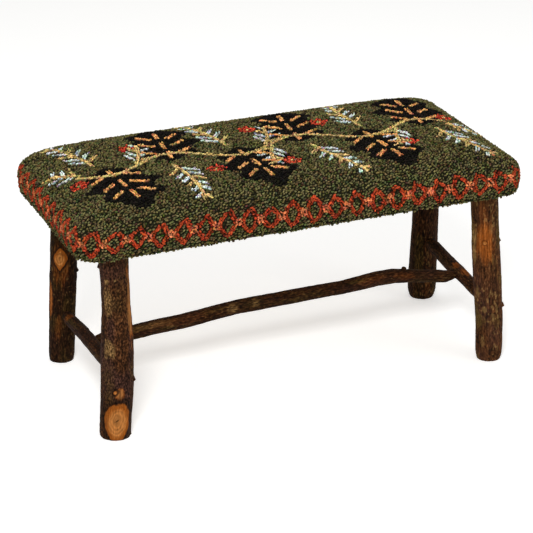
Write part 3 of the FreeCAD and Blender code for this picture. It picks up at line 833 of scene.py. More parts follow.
def bark_colors(pole):
    """A colour for each spot of a pole, and how far it is covered by bark."""
    name = pole["node"]
    rubbed = pole["rubbed"]
    blotch = bark_noise(pole, BLOTCHES)
    colors = plain_bark(pole, blotch)
    lichen = mark_mask(pole, LICHEN_PLACES.get(name, ()), RAGGED_LICHEN)
    specks = LICHEN_SPECKS.get(name, 0.0) * ease(bark_noise(pole, SPRINKLES), *TO_SPECK)
    covered = np.clip(LICHEN_COVER + LICHEN_BLOTCH * blotch, 0, 1)
    colors = blend(colors, LICHEN, np.maximum(lichen, specks) * covered)
    grain = ease(0.5 + 0.5 * bark_noise(pole, SAPWOOD_GRAIN), *TO_GRAIN)
    bared = blend(SAPWOOD, PALE_SAPWOOD, np.maximum(grain * PALE_GRAIN, ease(rubbed, *TO_PALE)))
    bared *= (BARED_DARK + GRAIN_LIGHT * grain)[..., None]
    colors = blend(colors, bared, rubbed * np.clip(BARED_COVER + BARED_BLOTCH * blotch, 0, 1))
    barked = 1 - rubbed
    for knot in SAWN_KNOTS.get(name, ()):
        face, cover, collar = knot_colors(pole, *knot)
        barked = np.minimum(barked, 1 - cover)
        colors = blend(colors, DEEP_BARK * COLLAR_TONE, collar * COLLAR_DARK)
        colors = blend(colors, face, cover)
    return np.dstack([colors, barked])


for pole in poles.values():
    pole["colors"] = bark_colors(pole)
print("bark coloured on", sum(p["radii"].size for p in poles.values()), "spots")

# %% [markdown]
# ## Bark in the shader
# The stored colours are about a millimetre fine. The shader adds what is finer still: small pale
# and dark flecks where there is bark, thin streaks along the pole, a surface that is rougher in
# some spots than in others, and a fine bump. Streaks run along each pole, and some poles are
# far more flecked than others, so each pole gets a finish of its own.

# %% Bark finishes
FINE_STREAKS = 1100.0
STREAK_STRETCH = 0.09
FLECKS = 380.0
SPECKS = 700.0
# how far the flecks stand out from the bark, and how far they are drawn out along the pole
POLE_FLECKS = {"leg_front_left": (0.95, 0.6), "leg_front_right": (0.44, 0.25),
               "leg_back_left": (0.8, 0.35), "leg_back_right": (0.9, 0.3),
               "side_stretcher_left": (0.7, 0.4), "side_stretcher_right": (0.8, 0.4),
               "center_stretcher": (0.7, 0.35)}
FLECK_DARK, FLECK_PALE = 0.78, 1.25
BARK_GLOSS = 0.04


def along_pole(axis, scale, stretch):
    """A scale for each axis that draws a pattern out along the pole."""
    return [scale * (stretch if k == axis else 1.0) for k in range(3)]


def bark_finish(name, axis):
    """Bark whose fine streaks and flecks run along one axis."""
    finish = Finish(name + "_bark", Specular_IOR_Level=BARK_GLOSS)
    contrast, drawn_out = POLE_FLECKS[name]
    streaks = finish.noise(along_pole(axis, FINE_STREAKS, STREAK_STRETCH), roughness=0.65)
    flecks = finish.noise(along_pole(axis, FLECKS, drawn_out), roughness=0.55)
    specks = finish.noise(SPECKS, detail=2.0)
    flecked = finish.ramp(flecks, (0.38, 1 - FLECK_DARK * contrast), (0.5, (0.96, 0.94, 0.92)),
                          (0.63, 1 + FLECK_PALE * contrast))
    streaked = finish.ramp(streaks, (0.25, (0.4, 0.38, 0.36)), (0.5, 0.95), (0.8, (1.7, 1.65, 1.6)))
    bark = finish.stored("bark")
    on_bark = finish.node("Mix", data_type="RGBA")
    on_bark.inputs["A"].default_value = WHITE
    finish.join(bark["Alpha"], on_bark.inputs["Factor"])
    finish.join(flecked, on_bark.inputs["B"])
    finish.color(finish.times(finish.times(bark["Color"], streaked), on_bark.outputs["Result"]))
    finish.rough(finish.remap(specks, 0.55, 0.92))
    finish.bump(streaks, 0.5, 0.0006)
    return finish.material


print("flecks stand out by", min(POLE_FLECKS.values())[0], "to", max(POLE_FLECKS.values())[0])

# %% [markdown]
# ## The poles as pieces
# Each pole is now a map of radii and a map of colours. A cylinder could be displaced by such a map,
# but the rows already know their places, so they become rings of points, joined by faces and closed
# at both ends. Each finished pole takes the place of the CAD one.

# %% Make the poles


def make_pole(pole):
    """The pole as one closed mesh with capped ends."""
    name = pole["node"]
    rows, columns = pole["radii"].shape
    points = pole["middles"][:, None] + pole["out"][None] * pole["radii"][..., None]
    ends = np.stack([points[0].mean(0), points[-1].mean(0)])
    colors = np.concatenate([pole["colors"].reshape(-1, 4), [(*SAWN_HEART, 0.0)] * 2])
    points = np.concatenate([points.reshape(-1, 3), ends])
    flip = pole["axis"] == 1
    quads = grid_faces(rows, columns)
    low = fan_faces(0, columns, rows * columns, up=flip)
    high = fan_faces((rows - 1) * columns, columns, rows * columns + 1, up=not flip)
    if flip:
        quads = quads[:, ::-1]
    piece = make_piece(name + "_pole", points, [quads, low, high], "bark_pole", [name], ("bark", colors))
    piece.data.materials.append(bark_finish(name, pole["axis"]))
    return piece


for pole in poles.values():
    piece = make_pole(pole)
    print(piece.name, len(piece.data.polygons), "faces")

# %% [markdown]
# ## The outline of the seat
# From above, the seat is a long rectangle with round corners, and so is each row of each layer in
# it. One curve could be scaled to all of them, but then the corners would be stretched. A function
# gives the points instead: straight stretches, with a quarter of a circle at each corner.

# %% Outline of the seat
SEAT_LENGTH = 813.0
SEAT_DEPTH = 382.0
CORNER_RADIUS = 42.0
RIM_STEP = 4.0


def rim_lengths():
    """The straight and round stretches of the seat's outline, counterclockwise from front left."""
    long_side = SEAT_LENGTH - 2 * CORNER_RADIUS
    short_side = SEAT_DEPTH - 2 * CORNER_RADIUS
    corner = CORNER_RADIUS * math.pi / 2
    return np.array([long_side, corner, short_side, corner] * 2)


RIM = rim_lengths().sum()
ROUND_THE_RIM = np.arange(0, RIM, RIM / round(RIM / RIM_STEP))


def outline(along, half_length, half_depth, radius):
    """Points on a rounded outline, at distances measured along the seat's full outline."""
    radius = min(radius, half_length - 1, half_depth - 1)
    x, y = half_length - radius, half_depth - radius
    corners = np.array([(-x, -y), (x, -y), (x, -y), (x, y), (x, y), (-x, y), (-x, y), (-x, -y), (-x, -y)])
    marks = np.concatenate([[0], np.cumsum(rim_lengths())])
    along = np.asarray(along) % RIM
    part = np.clip(np.searchsorted(marks, along, side="right") - 1, 0, 7)
    share = (along - marks[part]) / (marks[part + 1] - marks[part])
    middle = corners[part] + (corners[part + 1] - corners[part]) * share[:, None]
    turn = -np.pi / 2 + np.pi / 2 * (part // 2 + np.where(part % 2, share, 0))
    return middle + radius * np.column_stack([np.cos(turn), np.sin(turn)])


print("rim:", round(RIM), "mm, in", len(ROUND_THE_RIM), "steps")

# %% [markdown]
# ## The form of the seat
# The seat is a low loaf: its sides are drawn in a little where the cover is pulled under the
# board, they stand almost upright, and then they roll over into a long, gentle crown. One list
# of rows, from the lower edge up to the crown, describes that, and every layer of the seat uses
# the same rows, only set further in.

# %% Rows of the seat's form
LOWER_EDGE = -1.5
DRAW_IN = 5.0
FULL_HEIGHT = 26.0
CROWN_HEIGHT = 84.0
CROWN_RUN_ENDS = 300.0
CROWN_RUN_SIDES = 100.0
CORNER_GROWTH = 0.9
WALL_ROWS = 8
CROWN_ROWS = 34
TOP_ROWS = 10


def seat_rows():
    """Height above the board's underside, inset at the ends and sides, and corner radius."""
    up_wall = np.linspace(0, 1, WALL_ROWS, endpoint=False)
    drawn = DRAW_IN * (1 - up_wall) ** 2
    height = LOWER_EDGE + (FULL_HEIGHT - LOWER_EDGE) * up_wall
    wall = np.column_stack([height, drawn, drawn, CORNER_RADIUS - drawn])
    run = np.linspace(0, 1, CROWN_ROWS) ** 2
    rise = (1 - (1 - run) ** 3) ** (1 / 3)
    crown = np.column_stack([FULL_HEIGHT + (CROWN_HEIGHT - FULL_HEIGHT) * rise, CROWN_RUN_ENDS * run,
                             CROWN_RUN_SIDES * run, CORNER_RADIUS + CORNER_GROWTH * CROWN_RUN_SIDES * run])
    return np.concatenate([wall, crown])


def seat_layer(offset):
    """The rings of a layer that lies a distance inside the wool's face, as rows of points."""
    rings = []
    for height, end_inset, side_inset, radius in seat_rows():
        lowered = offset * max(0.0, height - FULL_HEIGHT) / (CROWN_HEIGHT - FULL_HEIGHT)
        ring = outline(ROUND_THE_RIM, SEAT_LENGTH / 2 - end_inset - offset,
                       SEAT_DEPTH / 2 - side_inset - offset, radius - offset)
        rings.append(np.column_stack([ring, np.full(len(ring), LEG_TOP + height - lowered)]))
    highest = rings[-1]
    for share in np.linspace(1, 0, TOP_ROWS + 1)[1:-1]:
        rings.append(highest * (share, share, 1))
    return np.array(rings)


wool_face = seat_layer(0.0)
print("seat form:", wool_face.shape[0], "rows of", wool_face.shape[1], "points")

# %% [markdown]
# ## Foam and batting
# A firm foam pad gives the crown, and a layer of batting softens the board's edge under the
# cover. Nobody sees them on a finished bench, but they are what the cover is stretched over, so
# each is a closed form of its own with a plain finish.

# %% Closed forms from layers


def close_top(rows, first=0):
    """The triangles that close the last ring of a layer round its middle point."""
    count, columns = rows.shape[:2]
    return fan_faces(first + (count - 1) * columns, columns, first + count * columns, up=True)


def with_middle(rows):
    """A layer's points, and the point in the middle of its top."""
    return np.concatenate([rows.reshape(-1, 3), [rows[-1].mean(0)]])


def not_below(rows, low):
    """A layer with no point under a height."""
    rows = rows.copy()
    rows[..., 2] = np.maximum(rows[..., 2], low)
    return rows


def solid_layer(rows, low):
    """A closed body: the layer above a height, and a flat bottom."""
    rows = not_below(rows, low)
    points = np.concatenate([with_middle(rows), [(0.0, 0.0, low)]])
    bottom = fan_faces(0, rows.shape[1], len(points) - 1, up=False)
    return points, [grid_faces(*rows.shape[:2]), close_top(rows), bottom]


def shell_layer(outer, inner):
    """A closed shell between two layers, joined along its lower edge."""
    rows, columns = outer.shape[:2]
    first = rows * columns + 1
    points = np.concatenate([with_middle(outer), with_middle(inner)])
    ring = np.arange(columns)
    beside = (ring + 1) % columns
    rim = np.column_stack([beside, ring, first + ring, first + beside])
    inside = [grid_faces(rows, columns, first)[:, ::-1], close_top(inner, first)[:, ::-1]]
    return points, [grid_faces(rows, columns), close_top(outer), rim, *inside]


print("a layer's shell has", sum(map(len, shell_layer(wool_face, wool_face)[1])), "faces")

# %% [markdown]
# Both fillings are open and crumbly, the foam with pores of a fraction of a millimetre and the
# batting with tufts of several. One finish with small darker pits serves for both, at two scales.

# %% Foam pad and batting
BATTING_OUTER = 8.8
BATTING_INNER = 13.8
PAD_OUTER = 14.1
BOARD_TOP = 347.0


def crumb_finish(name, pale, dark, scale, bump):
    """A soft, porous finish with small darker pits."""
    finish = Finish(name, Roughness=0.95)
    pits = finish.noise(scale, detail=4.0, roughness=0.7)
    finish.color(finish.ramp(pits, (0.3, dark), (0.55, pale)))
    finish.bump(pits, 0.6, bump)
    return finish.material


open_foam = crumb_finish("open_foam", (0.78, 0.70, 0.48), (0.52, 0.44, 0.26), 500.0, 0.0006)
fibre_batting = crumb_finish("fibre_batting", (0.85, 0.84, 0.80), (0.66, 0.65, 0.61), 160.0, 0.0012)
foam = make_piece("foam_pad", *solid_layer(seat_layer(PAD_OUTER), BOARD_TOP), "foam", ["seat_foam"])
foam.data.materials.append(open_foam)
layers = [not_below(seat_layer(offset), LEG_TOP) for offset in (BATTING_OUTER, BATTING_INNER)]
batting = make_piece("batting_layer", *shell_layer(*layers), "batting", ["seat_batting"])
batting.data.materials.append(fibre_batting)
print("foam and batting:", len(foam.data.polygons), "and", len(batting.data.polygons), "faces")

# %% [markdown]
# ## Plumping the cover
# The cover is stapled under the board every few centimetres, and between the staples the foam
# pushes it out. A cloth simulation shows that well: a closed form a little smaller than the seat
# is blown up gently while the spots at the staples are held. The result is only used as a shape,
# so the simulation is run here, read once, and removed.

# %% Form for the simulation
PILE_HEIGHT = 3.7
VOXEL = 6.0
MOST_MOVED = 2.6
SWELL_ROOM = 0.6


def voxel_form(offset):
    """A closed, evenly meshed form inside the wool's face."""
    points, faces = solid_layer(seat_layer(offset), LEG_TOP + LOWER_EDGE)
    mesh = bpy.data.meshes.new("plumping")
    mesh.from_pydata((points * MM).tolist(), [], [f.tolist() for group in faces for f in group])
    form = show("plumping", mesh)
    remesh = form.modifiers.new("even", "REMESH")
    remesh.mode = "VOXEL"
    remesh.voxel_size = VOXEL * MM
    even = bpy.data.meshes.new_from_object(form.evaluated_get(bpy.context.evaluated_depsgraph_get()))
    form.modifiers.clear()
    form.data = even
    return form


form = voxel_form(PILE_HEIGHT + ((MOST_MOVED * SWELL_ROOM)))
print("form for the simulation:", len(form.data.vertices), "points")

# %% [markdown]
# The board's underside and the edge at each staple are held, and air blows up the rest for twenty
# frames with gravity off. How far a point may move is limited, because firm foam swells less than
# a bag of air does.

# %% Plump the cover with a cloth simulation
AIR = 4.0
FRAMES = 20
STAPLE_PITCH = 64.0
STAPLE_HOLD = 9.0
HELD_BELOW = 4.0
UNDERSIDE_INSET = 26.0


def held_points(points):
    """Which points of the form are held: the board's underside, and the edge at each staple."""
    edge = outline(np.arange(0, RIM, STAPLE_PITCH), SEAT_LENGTH / 2 - DRAW_IN, SEAT_DEPTH / 2 - DRAW_IN,
                   CORNER_RADIUS)
    x, y, z = points.T
    inside = np.abs(x) < SEAT_LENGTH / 2 - UNDERSIDE_INSET
    inside &= np.abs(y) < SEAT_DEPTH / 2 - UNDERSIDE_INSET
    near = np.min(np.hypot(x[:, None] - edge[:, 0], y[:, None] - edge[:, 1]), axis=1)
    return (z < LEG_TOP + HELD_BELOW) & (inside | (near < STAPLE_HOLD))


def blow_up(form):
    """Runs the cloth with air pressure and no gravity, and returns where its points end."""
    start = mesh_points(form.data)
    pins = form.vertex_groups.new(name="held")
    pins.add(np.flatnonzero(held_points(start)).tolist(), 1.0, "REPLACE")
    cloth = form.modifiers.new("cover", "CLOTH")
    cloth.settings.vertex_group_mass = "held"
    cloth.settings.use_pressure = True
    cloth.settings.uniform_pressure_force = AIR
    cloth.settings.effector_weights.gravity = 0.0
    cloth.point_cache.frame_end = FRAMES
    for step in range(1, FRAMES + 1):
        bpy.context.scene.frame_set(step)
    ended = form.evaluated_get(bpy.context.evaluated_depsgraph_get()).to_mesh()
    moved = mesh_points(ended) - start
    bpy.context.scene.frame_set(1)
    form.modifiers.clear()
    far = np.linalg.norm(moved, axis=1, keepdims=True)
    return start + moved * np.minimum(1, MOST_MOVED / np.maximum(far, 1e-6))


plump = blow_up(form)
plump_tree = mesh_tree(form.data, plump)
print("cover plumped from", len(plump), "points, highest", plump[:, 2].max().round(1), "mm")
bpy.data.objects.remove(form)

# %% [markdown]
# ## Dropping points on a form
# The simulated form has an even but untidy mesh. A shrinkwrap modifier could pull a tidy mesh on to
# it, but loops of wool have to be set on it too. So one function drops any points on a form: a ray
# starts a little outside each point and runs in until it meets the form.

# %% Rays on to a form
RAY_START = 14.0
RAY_RUN = 35.0


def unit(vectors):
    """Vectors of length 1."""
    return vectors / np.maximum(np.linalg.norm(vectors, axis=-1, keepdims=True), 1e-9)


def outward(rows):
    """Which way each point of a layer faces, from the rows and columns next to it."""
    along = np.roll(rows, -1, axis=1) - np.roll(rows, 1, axis=1)
    up = np.gradient(rows, axis=0)
    return unit(np.cross(along, up))


def drop_on(tree, points, facing):
    """Where points land on a surface when they are moved against the way they face."""
    landed = np.array(points, dtype=float)
    for k, (point, way) in enumerate(zip(points, facing)):
        way = Vector(way)
        hit = tree.ray_cast(Vector(point) + way * RAY_START, -way, RAY_RUN)[0]
        landed[k] = hit if hit is not None else np.asarray(point) - PILE_HEIGHT * np.asarray(way)
    return landed


def face_tree(rows):
    """A layer's outer faces, ready for rays."""
    faces = [*grid_faces(*rows.shape[:2]).tolist(), *close_top(rows).tolist()]
    return BVHTree.FromPolygons(with_middle(rows).tolist(), faces)


facing = outward(wool_face)
landed = drop_on(plump_tree, wool_face.reshape(-1, 3), facing.reshape(-1, 3)).reshape(wool_face.shape)
inside = np.linalg.norm(landed - wool_face, axis=2)
print("the form lies", inside.mean().round(1), "mm inside the wool's face")

# %% [markdown]
# ## Laying the cover's foundation
# The seat's rows take on the swell of the simulated form, which gives a clean mesh. Each row keeps
# its mean depth, so the blown-up form changes the cover's surface but not the size of the seat. The
# under layer of wool is painted dark as painted shade, because little light gets down between the loops.

# %% Foundation of the wool cover
PILE_INNER = 7.0


def under_wool():
    """Wool painted dark, as painted shade between the loops."""
    finish = Finish("under_wool", Roughness=1.0, Specular_IOR_Level=0.05)
    shade = finish.noise(420.0)
    # near-black colours: painted shade between the loops
    finish.color(finish.ramp(shade, (0.3, (0.006, 0.006, 0.003)), (0.7, (0.022, 0.021, 0.010))))
    finish.bump(shade, 0.8, 0.0008)
    return finish.material


depth = ((landed - wool_face) * facing).sum(-1, keepdims=True)
swell = depth - depth.mean(axis=1, keepdims=True)
cover_rows = wool_face + facing * (swell - PILE_HEIGHT)
cover_rows[0, :, 2] = LEG_TOP + LOWER_EDGE
cover_tree = face_tree(cover_rows)
cover = make_piece("wool_cover", *shell_layer(cover_rows, seat_layer(PILE_INNER)), "wool", ["wool_pile"])
cover.data.materials.append(under_wool())
print("wool cover swells from", swell.min().round(2), "to", swell.max().round(2), "mm")

# %% [markdown]
# ## A diamond of the border
# A chain of linked diamonds runs right round the seat. It is an old border, and each diamond in it is
# hooked in rust yarn. A circle whose coordinates are raised to a power becomes a diamond or anything
# between the two, so one formula gives every diamond, with a loop at each step along it.

# %% Draw one diamond
LOOP_STEP = 3.8
DIAMOND_HALF_WIDTH = 13.6
DIAMOND_HALF_HEIGHT = 19.5
DIAMOND_POINTS = 121


def resampled(path, step):
    """Points a set step apart along a path."""
    lengths = np.concatenate([[0], np.cumsum(np.linalg.norm(np.diff(path, axis=0), axis=1))])
    count = max(1, round(lengths[-1] / step))
    places = np.linspace(0, lengths[-1], count + 1)
    return np.column_stack([np.interp(places, lengths, path[:, k]) for k in range(path.shape[1])])


def diamond_row(half_width, half_height, roundness):
    """One closed row of loops round a diamond, about its middle."""
    turn = np.linspace(0, 2 * np.pi, DIAMOND_POINTS)
    circle = np.column_stack([np.cos(turn), np.sin(turn)])
    path = np.abs(circle) ** (2 / roundness) * np.sign(circle) * (half_width, half_height)
    return resampled(path, LOOP_STEP)[:-1]


print("a diamond has", len(diamond_row(DIAMOND_HALF_WIDTH, DIAMOND_HALF_HEIGHT, 1.0)), "loops in a row")

# %% [markdown]
# ## The border
# Each diamond is two rows of loops wide, and a block of orange loops links it to the next. The chain
# is drawn flat, as distance round the rim and height up the side, and is wrapped on the seat later.
# The sizes wander a little, because nobody hooks sixty diamonds alike.

# %% Draw the border
DIAMONDS = 60
BORDER_HEIGHT = 34.0
STRAND_GAP = 5.0
# 1 is a straight-sided diamond, 2 an oval
LEAST_ROUND, MOST_ROUND = 1.0, 1.4
LINK_HALF_WIDTH = 7.6
LINK_HALF_HEIGHT = 10.5
LINK_LOOPS = 4
# how much diamonds differ in size and place, and loops in place
SIZE_WANDER, PLACE_WANDER, LOOP_WANDER = 0.06, 0.7, 0.45
BORDER_SEED = 3


def border_chain(rng):
    """Every loop of the border as points round and up, and whether each is a link."""
    pitch = RIM / DIAMONDS
    link_up = BORDER_HEIGHT + np.arange(0.5 - LINK_LOOPS / 2, LINK_LOOPS / 2) * LOOP_STEP
    flat = []
    for k in range(DIAMONDS):
        grow = rng.normal(1, SIZE_WANDER, 2)
        roundness = rng.uniform(LEAST_ROUND, MOST_ROUND)
        middle = ((k + 0.5) * pitch, BORDER_HEIGHT) + rng.normal(0, PLACE_WANDER, 2)
        for side in (-0.5, 0.5):
            size = grow * (DIAMOND_HALF_WIDTH, DIAMOND_HALF_HEIGHT) + side * STRAND_GAP
            flat.append(diamond_row(*size, roundness) + middle)
        for side in (-0.5, 0.5):
            flat.append(np.column_stack([np.full(LINK_LOOPS, k * pitch + side * LOOP_STEP), link_up]))
    flat = np.concatenate(flat)
    flat += rng.normal(0, LOOP_WANDER, flat.shape)
    from_link = np.abs((flat[:, 0] / pitch + 0.5) % 1 - 0.5) * pitch
    up = np.abs(flat[:, 1] - BORDER_HEIGHT)
    linked = from_link / LINK_HALF_WIDTH + up / LINK_HALF_HEIGHT / 2 < 1
    return flat, linked & (up < LINK_HALF_HEIGHT)


border_flat, border_links = border_chain(np.random.default_rng(BORDER_SEED))
print("border:", len(border_flat), "loops,", int(border_links.sum()), "of them orange links")

# %% [markdown]
# ## The picture on the seat
# The top is hooked with a plain country design: a wavy vine with dark lobed leaves, fern sprigs
# and blossoms, in the colours of the seat. The shapes that are filled in, leaves and blossoms, could
# be painted on an image. Here a formula says which yarn fills a spot, and it holds at any scale.

# %% Draw the leaves and blossoms
LEAF_LENGTH, LEAF_WIDTH = 172, 122
LEAF_PITCH, LEAF_OFFSET, LEAF_TURN = 118, 8, -85
# in front of the vine and behind it by turns: base x and y, and direction
LEAVES = [(LEAF_PITCH * (k - 2.5), side * LEAF_OFFSET, side * LEAF_TURN)
          for k, side in enumerate((1, -1) * 3)]
LEAF_LOBES = 3.5
LOBE_DEPTH, LOBE_START = 0.2, 2.4
LEAF_BLUNTNESS, LEAF_NARROWING = 0.6, 0.15
BLOSSOMS = ((-352, -34), (-232, 76), (-124, -70), (-8, 84), (8, -84), (124, 70), (232, -76), (352, 34))
PETALS = 5
PETAL_RADIUS = 6.8
PETAL_REACH = 10.5
BLOSSOM_HEART = 4.6


def turned(points, degrees):
    """Flat points turned round their origin."""
    c, s = math.cos(math.radians(degrees)), math.sin(math.radians(degrees))
    return points @ np.array([(c, s), (-s, c)])


def leaf_half_width(share):
    """Half the width of a lobed leaf at a share of its length."""
    share = np.clip(share, 0, 1)
    lobes = 1 + LOBE_DEPTH * np.cos(2 * np.pi * LEAF_LOBES * share + LOBE_START)
    return LEAF_WIDTH / 2 * np.sin(np.pi * share) ** LEAF_BLUNTNESS * lobes * (1 - LEAF_NARROWING * share)


def picture_fill(points):
    """The yarn that fills each flat spot: leaf, blossom or ground."""
    yarns = np.full(len(points), "ground", dtype=object)
    for x, y, degrees in LEAVES:
        local = turned(points - (x, y), -degrees)
        share = local[:, 0] / LEAF_LENGTH
        inside = (share > 0) & (share < 1) & (np.abs(local[:, 1]) < leaf_half_width(share))
        yarns[inside] = "black"
    for blossom in BLOSSOMS:
        local = points - blossom
        for k in range(PETALS):
            petal = turned(np.array([(PETAL_REACH, 0.0)]), k * 360 / PETALS)
            yarns[np.hypot(*(local - petal).T) < PETAL_RADIUS] = "red"
        yarns[np.hypot(*local.T) < BLOSSOM_HEART] = "straw"
    return yarns


print("shapes to fill:", len(LEAVES), "leaves and", len(BLOSSOMS), "blossoms")

# %% [markdown]
# The vine and the veins of the leaves are lines two loops wide. Each is a path of flat points, and
# two copies of the path lie side by side, half a gap to each side of it.

# %% Draw the vine and veins
VINE_SWING = 26.0
VINE_WAVE = 236.0
VINE_REACH = 348.0
VINE_POINTS = 240
LINE_GAP = 3.6
# starts and ends of the dashes along a leaf's middle, and where its side veins start
MIDRIB_DASHES = ((0.08, 0.24), (0.36, 0.52), (0.64, 0.8))
SIDE_VEINS = (0.2, 0.42, 0.62)
# how far out a side vein starts and ends, how far it slants, and how much shorter it is near the tip
VEIN_START, VEIN_END, VEIN_SLANT, VEIN_NARROWING = 0.3, 0.74, 0.1, 0.35


def side_by_side(path):
    """Two copies of a path next to each other, to make a line two loops wide."""
    slope = unit(np.gradient(path, axis=0))
    across = np.column_stack([-slope[:, 1], slope[:, 0]]) * LINE_GAP
    return [path + across * side for side in (-0.5, 0.5)]


def leaf_veins(x, y, degrees):
    """A leaf's midrib and side veins, worked as short thick dashes."""
    half = LEAF_WIDTH / 2
    dashes = [((start, 0), (end, 0)) for start, end in MIDRIB_DASHES]
    for share in SIDE_VEINS:
        for side in (-1, 1):
            reach = side * half / LEAF_LENGTH * (1 - VEIN_NARROWING * share)
            dashes.append(((share, VEIN_START * reach), (share + VEIN_SLANT, VEIN_END * reach)))
    paths = [side_by_side(np.array(dash) * LEAF_LENGTH) for dash in dashes]
    return [turned(p, degrees) + (x, y) for pair in paths for p in pair]


vine_x = np.linspace(-VINE_REACH, VINE_REACH, VINE_POINTS)
vine = np.column_stack([vine_x, VINE_SWING * np.sin(2 * np.pi * vine_x / VINE_WAVE)])
lines = [("straw", path) for path in side_by_side(vine)]
for leaf in LEAVES:
    lines += [("tan", path) for path in leaf_veins(*leaf)]
print("vine and veins:", len(lines), "lines")

# %% [markdown]
# A fern is a bent stem with pairs of leaflets that shorten towards its tip. Two leaflets of three are
# pale blue and the third is straw, which makes the sprigs shimmer a little.

# %% Draw the ferns
# base x and y, direction, length, bend
FERNS = (
    (-308, 26, 98, 138, 26), (-186, -26, -78, 138, -24), (-68, 26, 98, 138, 26),
    (68, -26, -82, 138, 26), (186, 26, 102, 138, -24), (308, -26, -82, 138, 26),
    (-340, 4, 146, 52, -10), (340, -4, -34, 52, -10),
    (-240, 6, 58, 78, 18), (-4, 6, 58, 78, 18), (4, -6, -122, 78, 18), (240, -6, -122, 78, 18),
)
STEM_POINTS = 24
FIRST_LEAFLET, LAST_LEAFLET = 0.14, 0.96
LEAFLET_STEP = 21.0
LEAFLET_LEAN = 50.0
SHORT_LEAFLET, LEAFLET_GROWTH = 15.0, 22.0
LEAFLET_TRIM = 0.2


def fern_lines(x, y, degrees, length, bend):
    """A fern's stem and leaflets as (yarn, path)."""
    share = np.linspace(0, 1, STEM_POINTS)
    stem = np.column_stack([share * length, bend * share ** 2])
    fern = [("straw", path) for path in side_by_side(turned(stem, degrees) + (x, y))]
    for k, at in enumerate(np.arange(FIRST_LEAFLET, LAST_LEAFLET, LEAFLET_STEP / length)):
        root = np.array([at * length, bend * at ** 2])
        lean = math.degrees(math.atan2(2 * bend * at, length))
        reach = SHORT_LEAFLET + LEAFLET_GROWTH * (1 - at)
        for side in (-1, 1):
            tip = turned(np.array([(reach, 0)]), lean + side * LEAFLET_LEAN)[0]
            pair = side_by_side(np.array([root + LEAFLET_TRIM * tip, root + tip]))
            pair[1][1] -= LEAFLET_TRIM * tip
            yarn = "pale_blue" if (k + (side > 0)) % 3 else "straw"
            fern += [(yarn, turned(path, degrees) + (x, y)) for path in pair]
    return fern


for fern in FERNS:
    lines += fern_lines(*fern)
print("picture:", len(lines), "lines,", len(FERNS), "ferns")

# %% [markdown]
# ## A board that keeps loops apart
# The seat has about twenty thousand loops, close together but never in perfect rows. Each new loop
# has to know whether another is too near. Asking every other loop would take hours, so the loops
# are kept in boxes a few millimetres wide, and only the boxes next to a loop are asked.

# %% Loops in boxes
LOOP_ROOM = 3.85
LINE_ROOM = 2.7
NEXT_BOXES = tuple(itertools.product((-1, 0, 1), repeat=3))


class LoopBoard:
    """Loops placed so far, in a box for each few millimetres, so near ones are found fast."""

    def __init__(self):
        self.boxes, self.spots, self.ways, self.runs, self.yarns = {}, [], [], [], []

    def add(self, spot, way, run, yarn, room):
        """Places a loop, unless another stands within its room."""
        i, j, k = (int(v // LOOP_ROOM) for v in spot)
        for a, b, c in NEXT_BOXES:
            for other in self.boxes.get((i + a, j + b, k + c), ()):
                if math.dist(spot, other) < room:
                    return
        self.boxes.setdefault((i, j, k), []).append(spot)
        self.spots.append(spot)
        self.ways.append(way)
        self.runs.append(run)
        self.yarns.append(yarn)


board = LoopBoard()
print("room for a loop:", LOOP_ROOM, "mm, and", LINE_ROOM, "mm along a line")

# %% [markdown]
# ## Wrapping flat drawings on the seat
# The border was drawn flat and has to go round the rim. A spot's distance round picks two columns
# of the seat's rows, and its height picks a place up each of them. The picture only has to be
# dropped on the crown from above, with rays.

# %% From flat spots to spots on the seat
SKY = 900.0
up_the_side = np.concatenate([np.zeros((1, wool_face.shape[1])),
                              np.cumsum(np.linalg.norm(np.diff(wool_face, axis=0), axis=2), axis=0)])
wool_tree = face_tree(wool_face)


def on_side(along, height):
    """The spot on the wool's face at a distance round the rim and up the side."""
    column = along / RIM * wool_face.shape[1]
    left = np.floor(column).astype(int)
    spots = []
    for k, share in ((left, 1 - (column - left)), (left + 1, column - left)):
        k = k % wool_face.shape[1]
        for part in range(3):
            spots.append(share * np.array([np.interp(h, up_the_side[:, c], wool_face[:, c, part])
                                           for h, c in zip(height, k)]))
    return np.column_stack([spots[p] + spots[p + 3] for p in range(3)])


def on_top(points):
    """The wool's face under flat points, and the way it faces, found with rays from above."""
    found = [wool_tree.ray_cast(Vector((x, y, SKY)), Vector((0, 0, -1)))[:2] for x, y in points]
    return np.array([f[0] for f in found]), np.array([f[1] for f in found])


def face_spots(count, rng):
    """Random spots on the wool's face, evenly spread, with the way they face."""
    points = with_middle(wool_face)
    quads = grid_faces(*wool_face.shape[:2])
    triangles = np.concatenate([quads[:, [0, 1, 2]], quads[:, [0, 2, 3]], close_top(wool_face)])
    a, b, c = (points[triangles[:, k]] for k in range(3))
    across = np.cross(b - a, c - a)
    size = np.linalg.norm(across, axis=1)
    picked = rng.choice(len(triangles), count, p=size / size.sum())
    u, v = rng.random((2, count))
    over = u + v > 1
    u[over], v[over] = 1 - u[over], 1 - v[over]
    spots = a[picked] + (b - a)[picked] * u[:, None] + (c - a)[picked] * v[:, None]
    return spots, across[picked] / size[picked][:, None]


print("height up the side to the crown:", up_the_side.max().round(), "mm")

# %% [markdown]
# ## Placing every loop
# A worker hooks the thin lines first and then fills in, and the same order is used here. After the
# lines, spots are thrown at random over the whole face, and each is kept only if no loop is too near,
# until the face is full. The same seed gives the same loops each time.

# %% Place the loops
LOOP_SEED = 7
THROWS = 340000
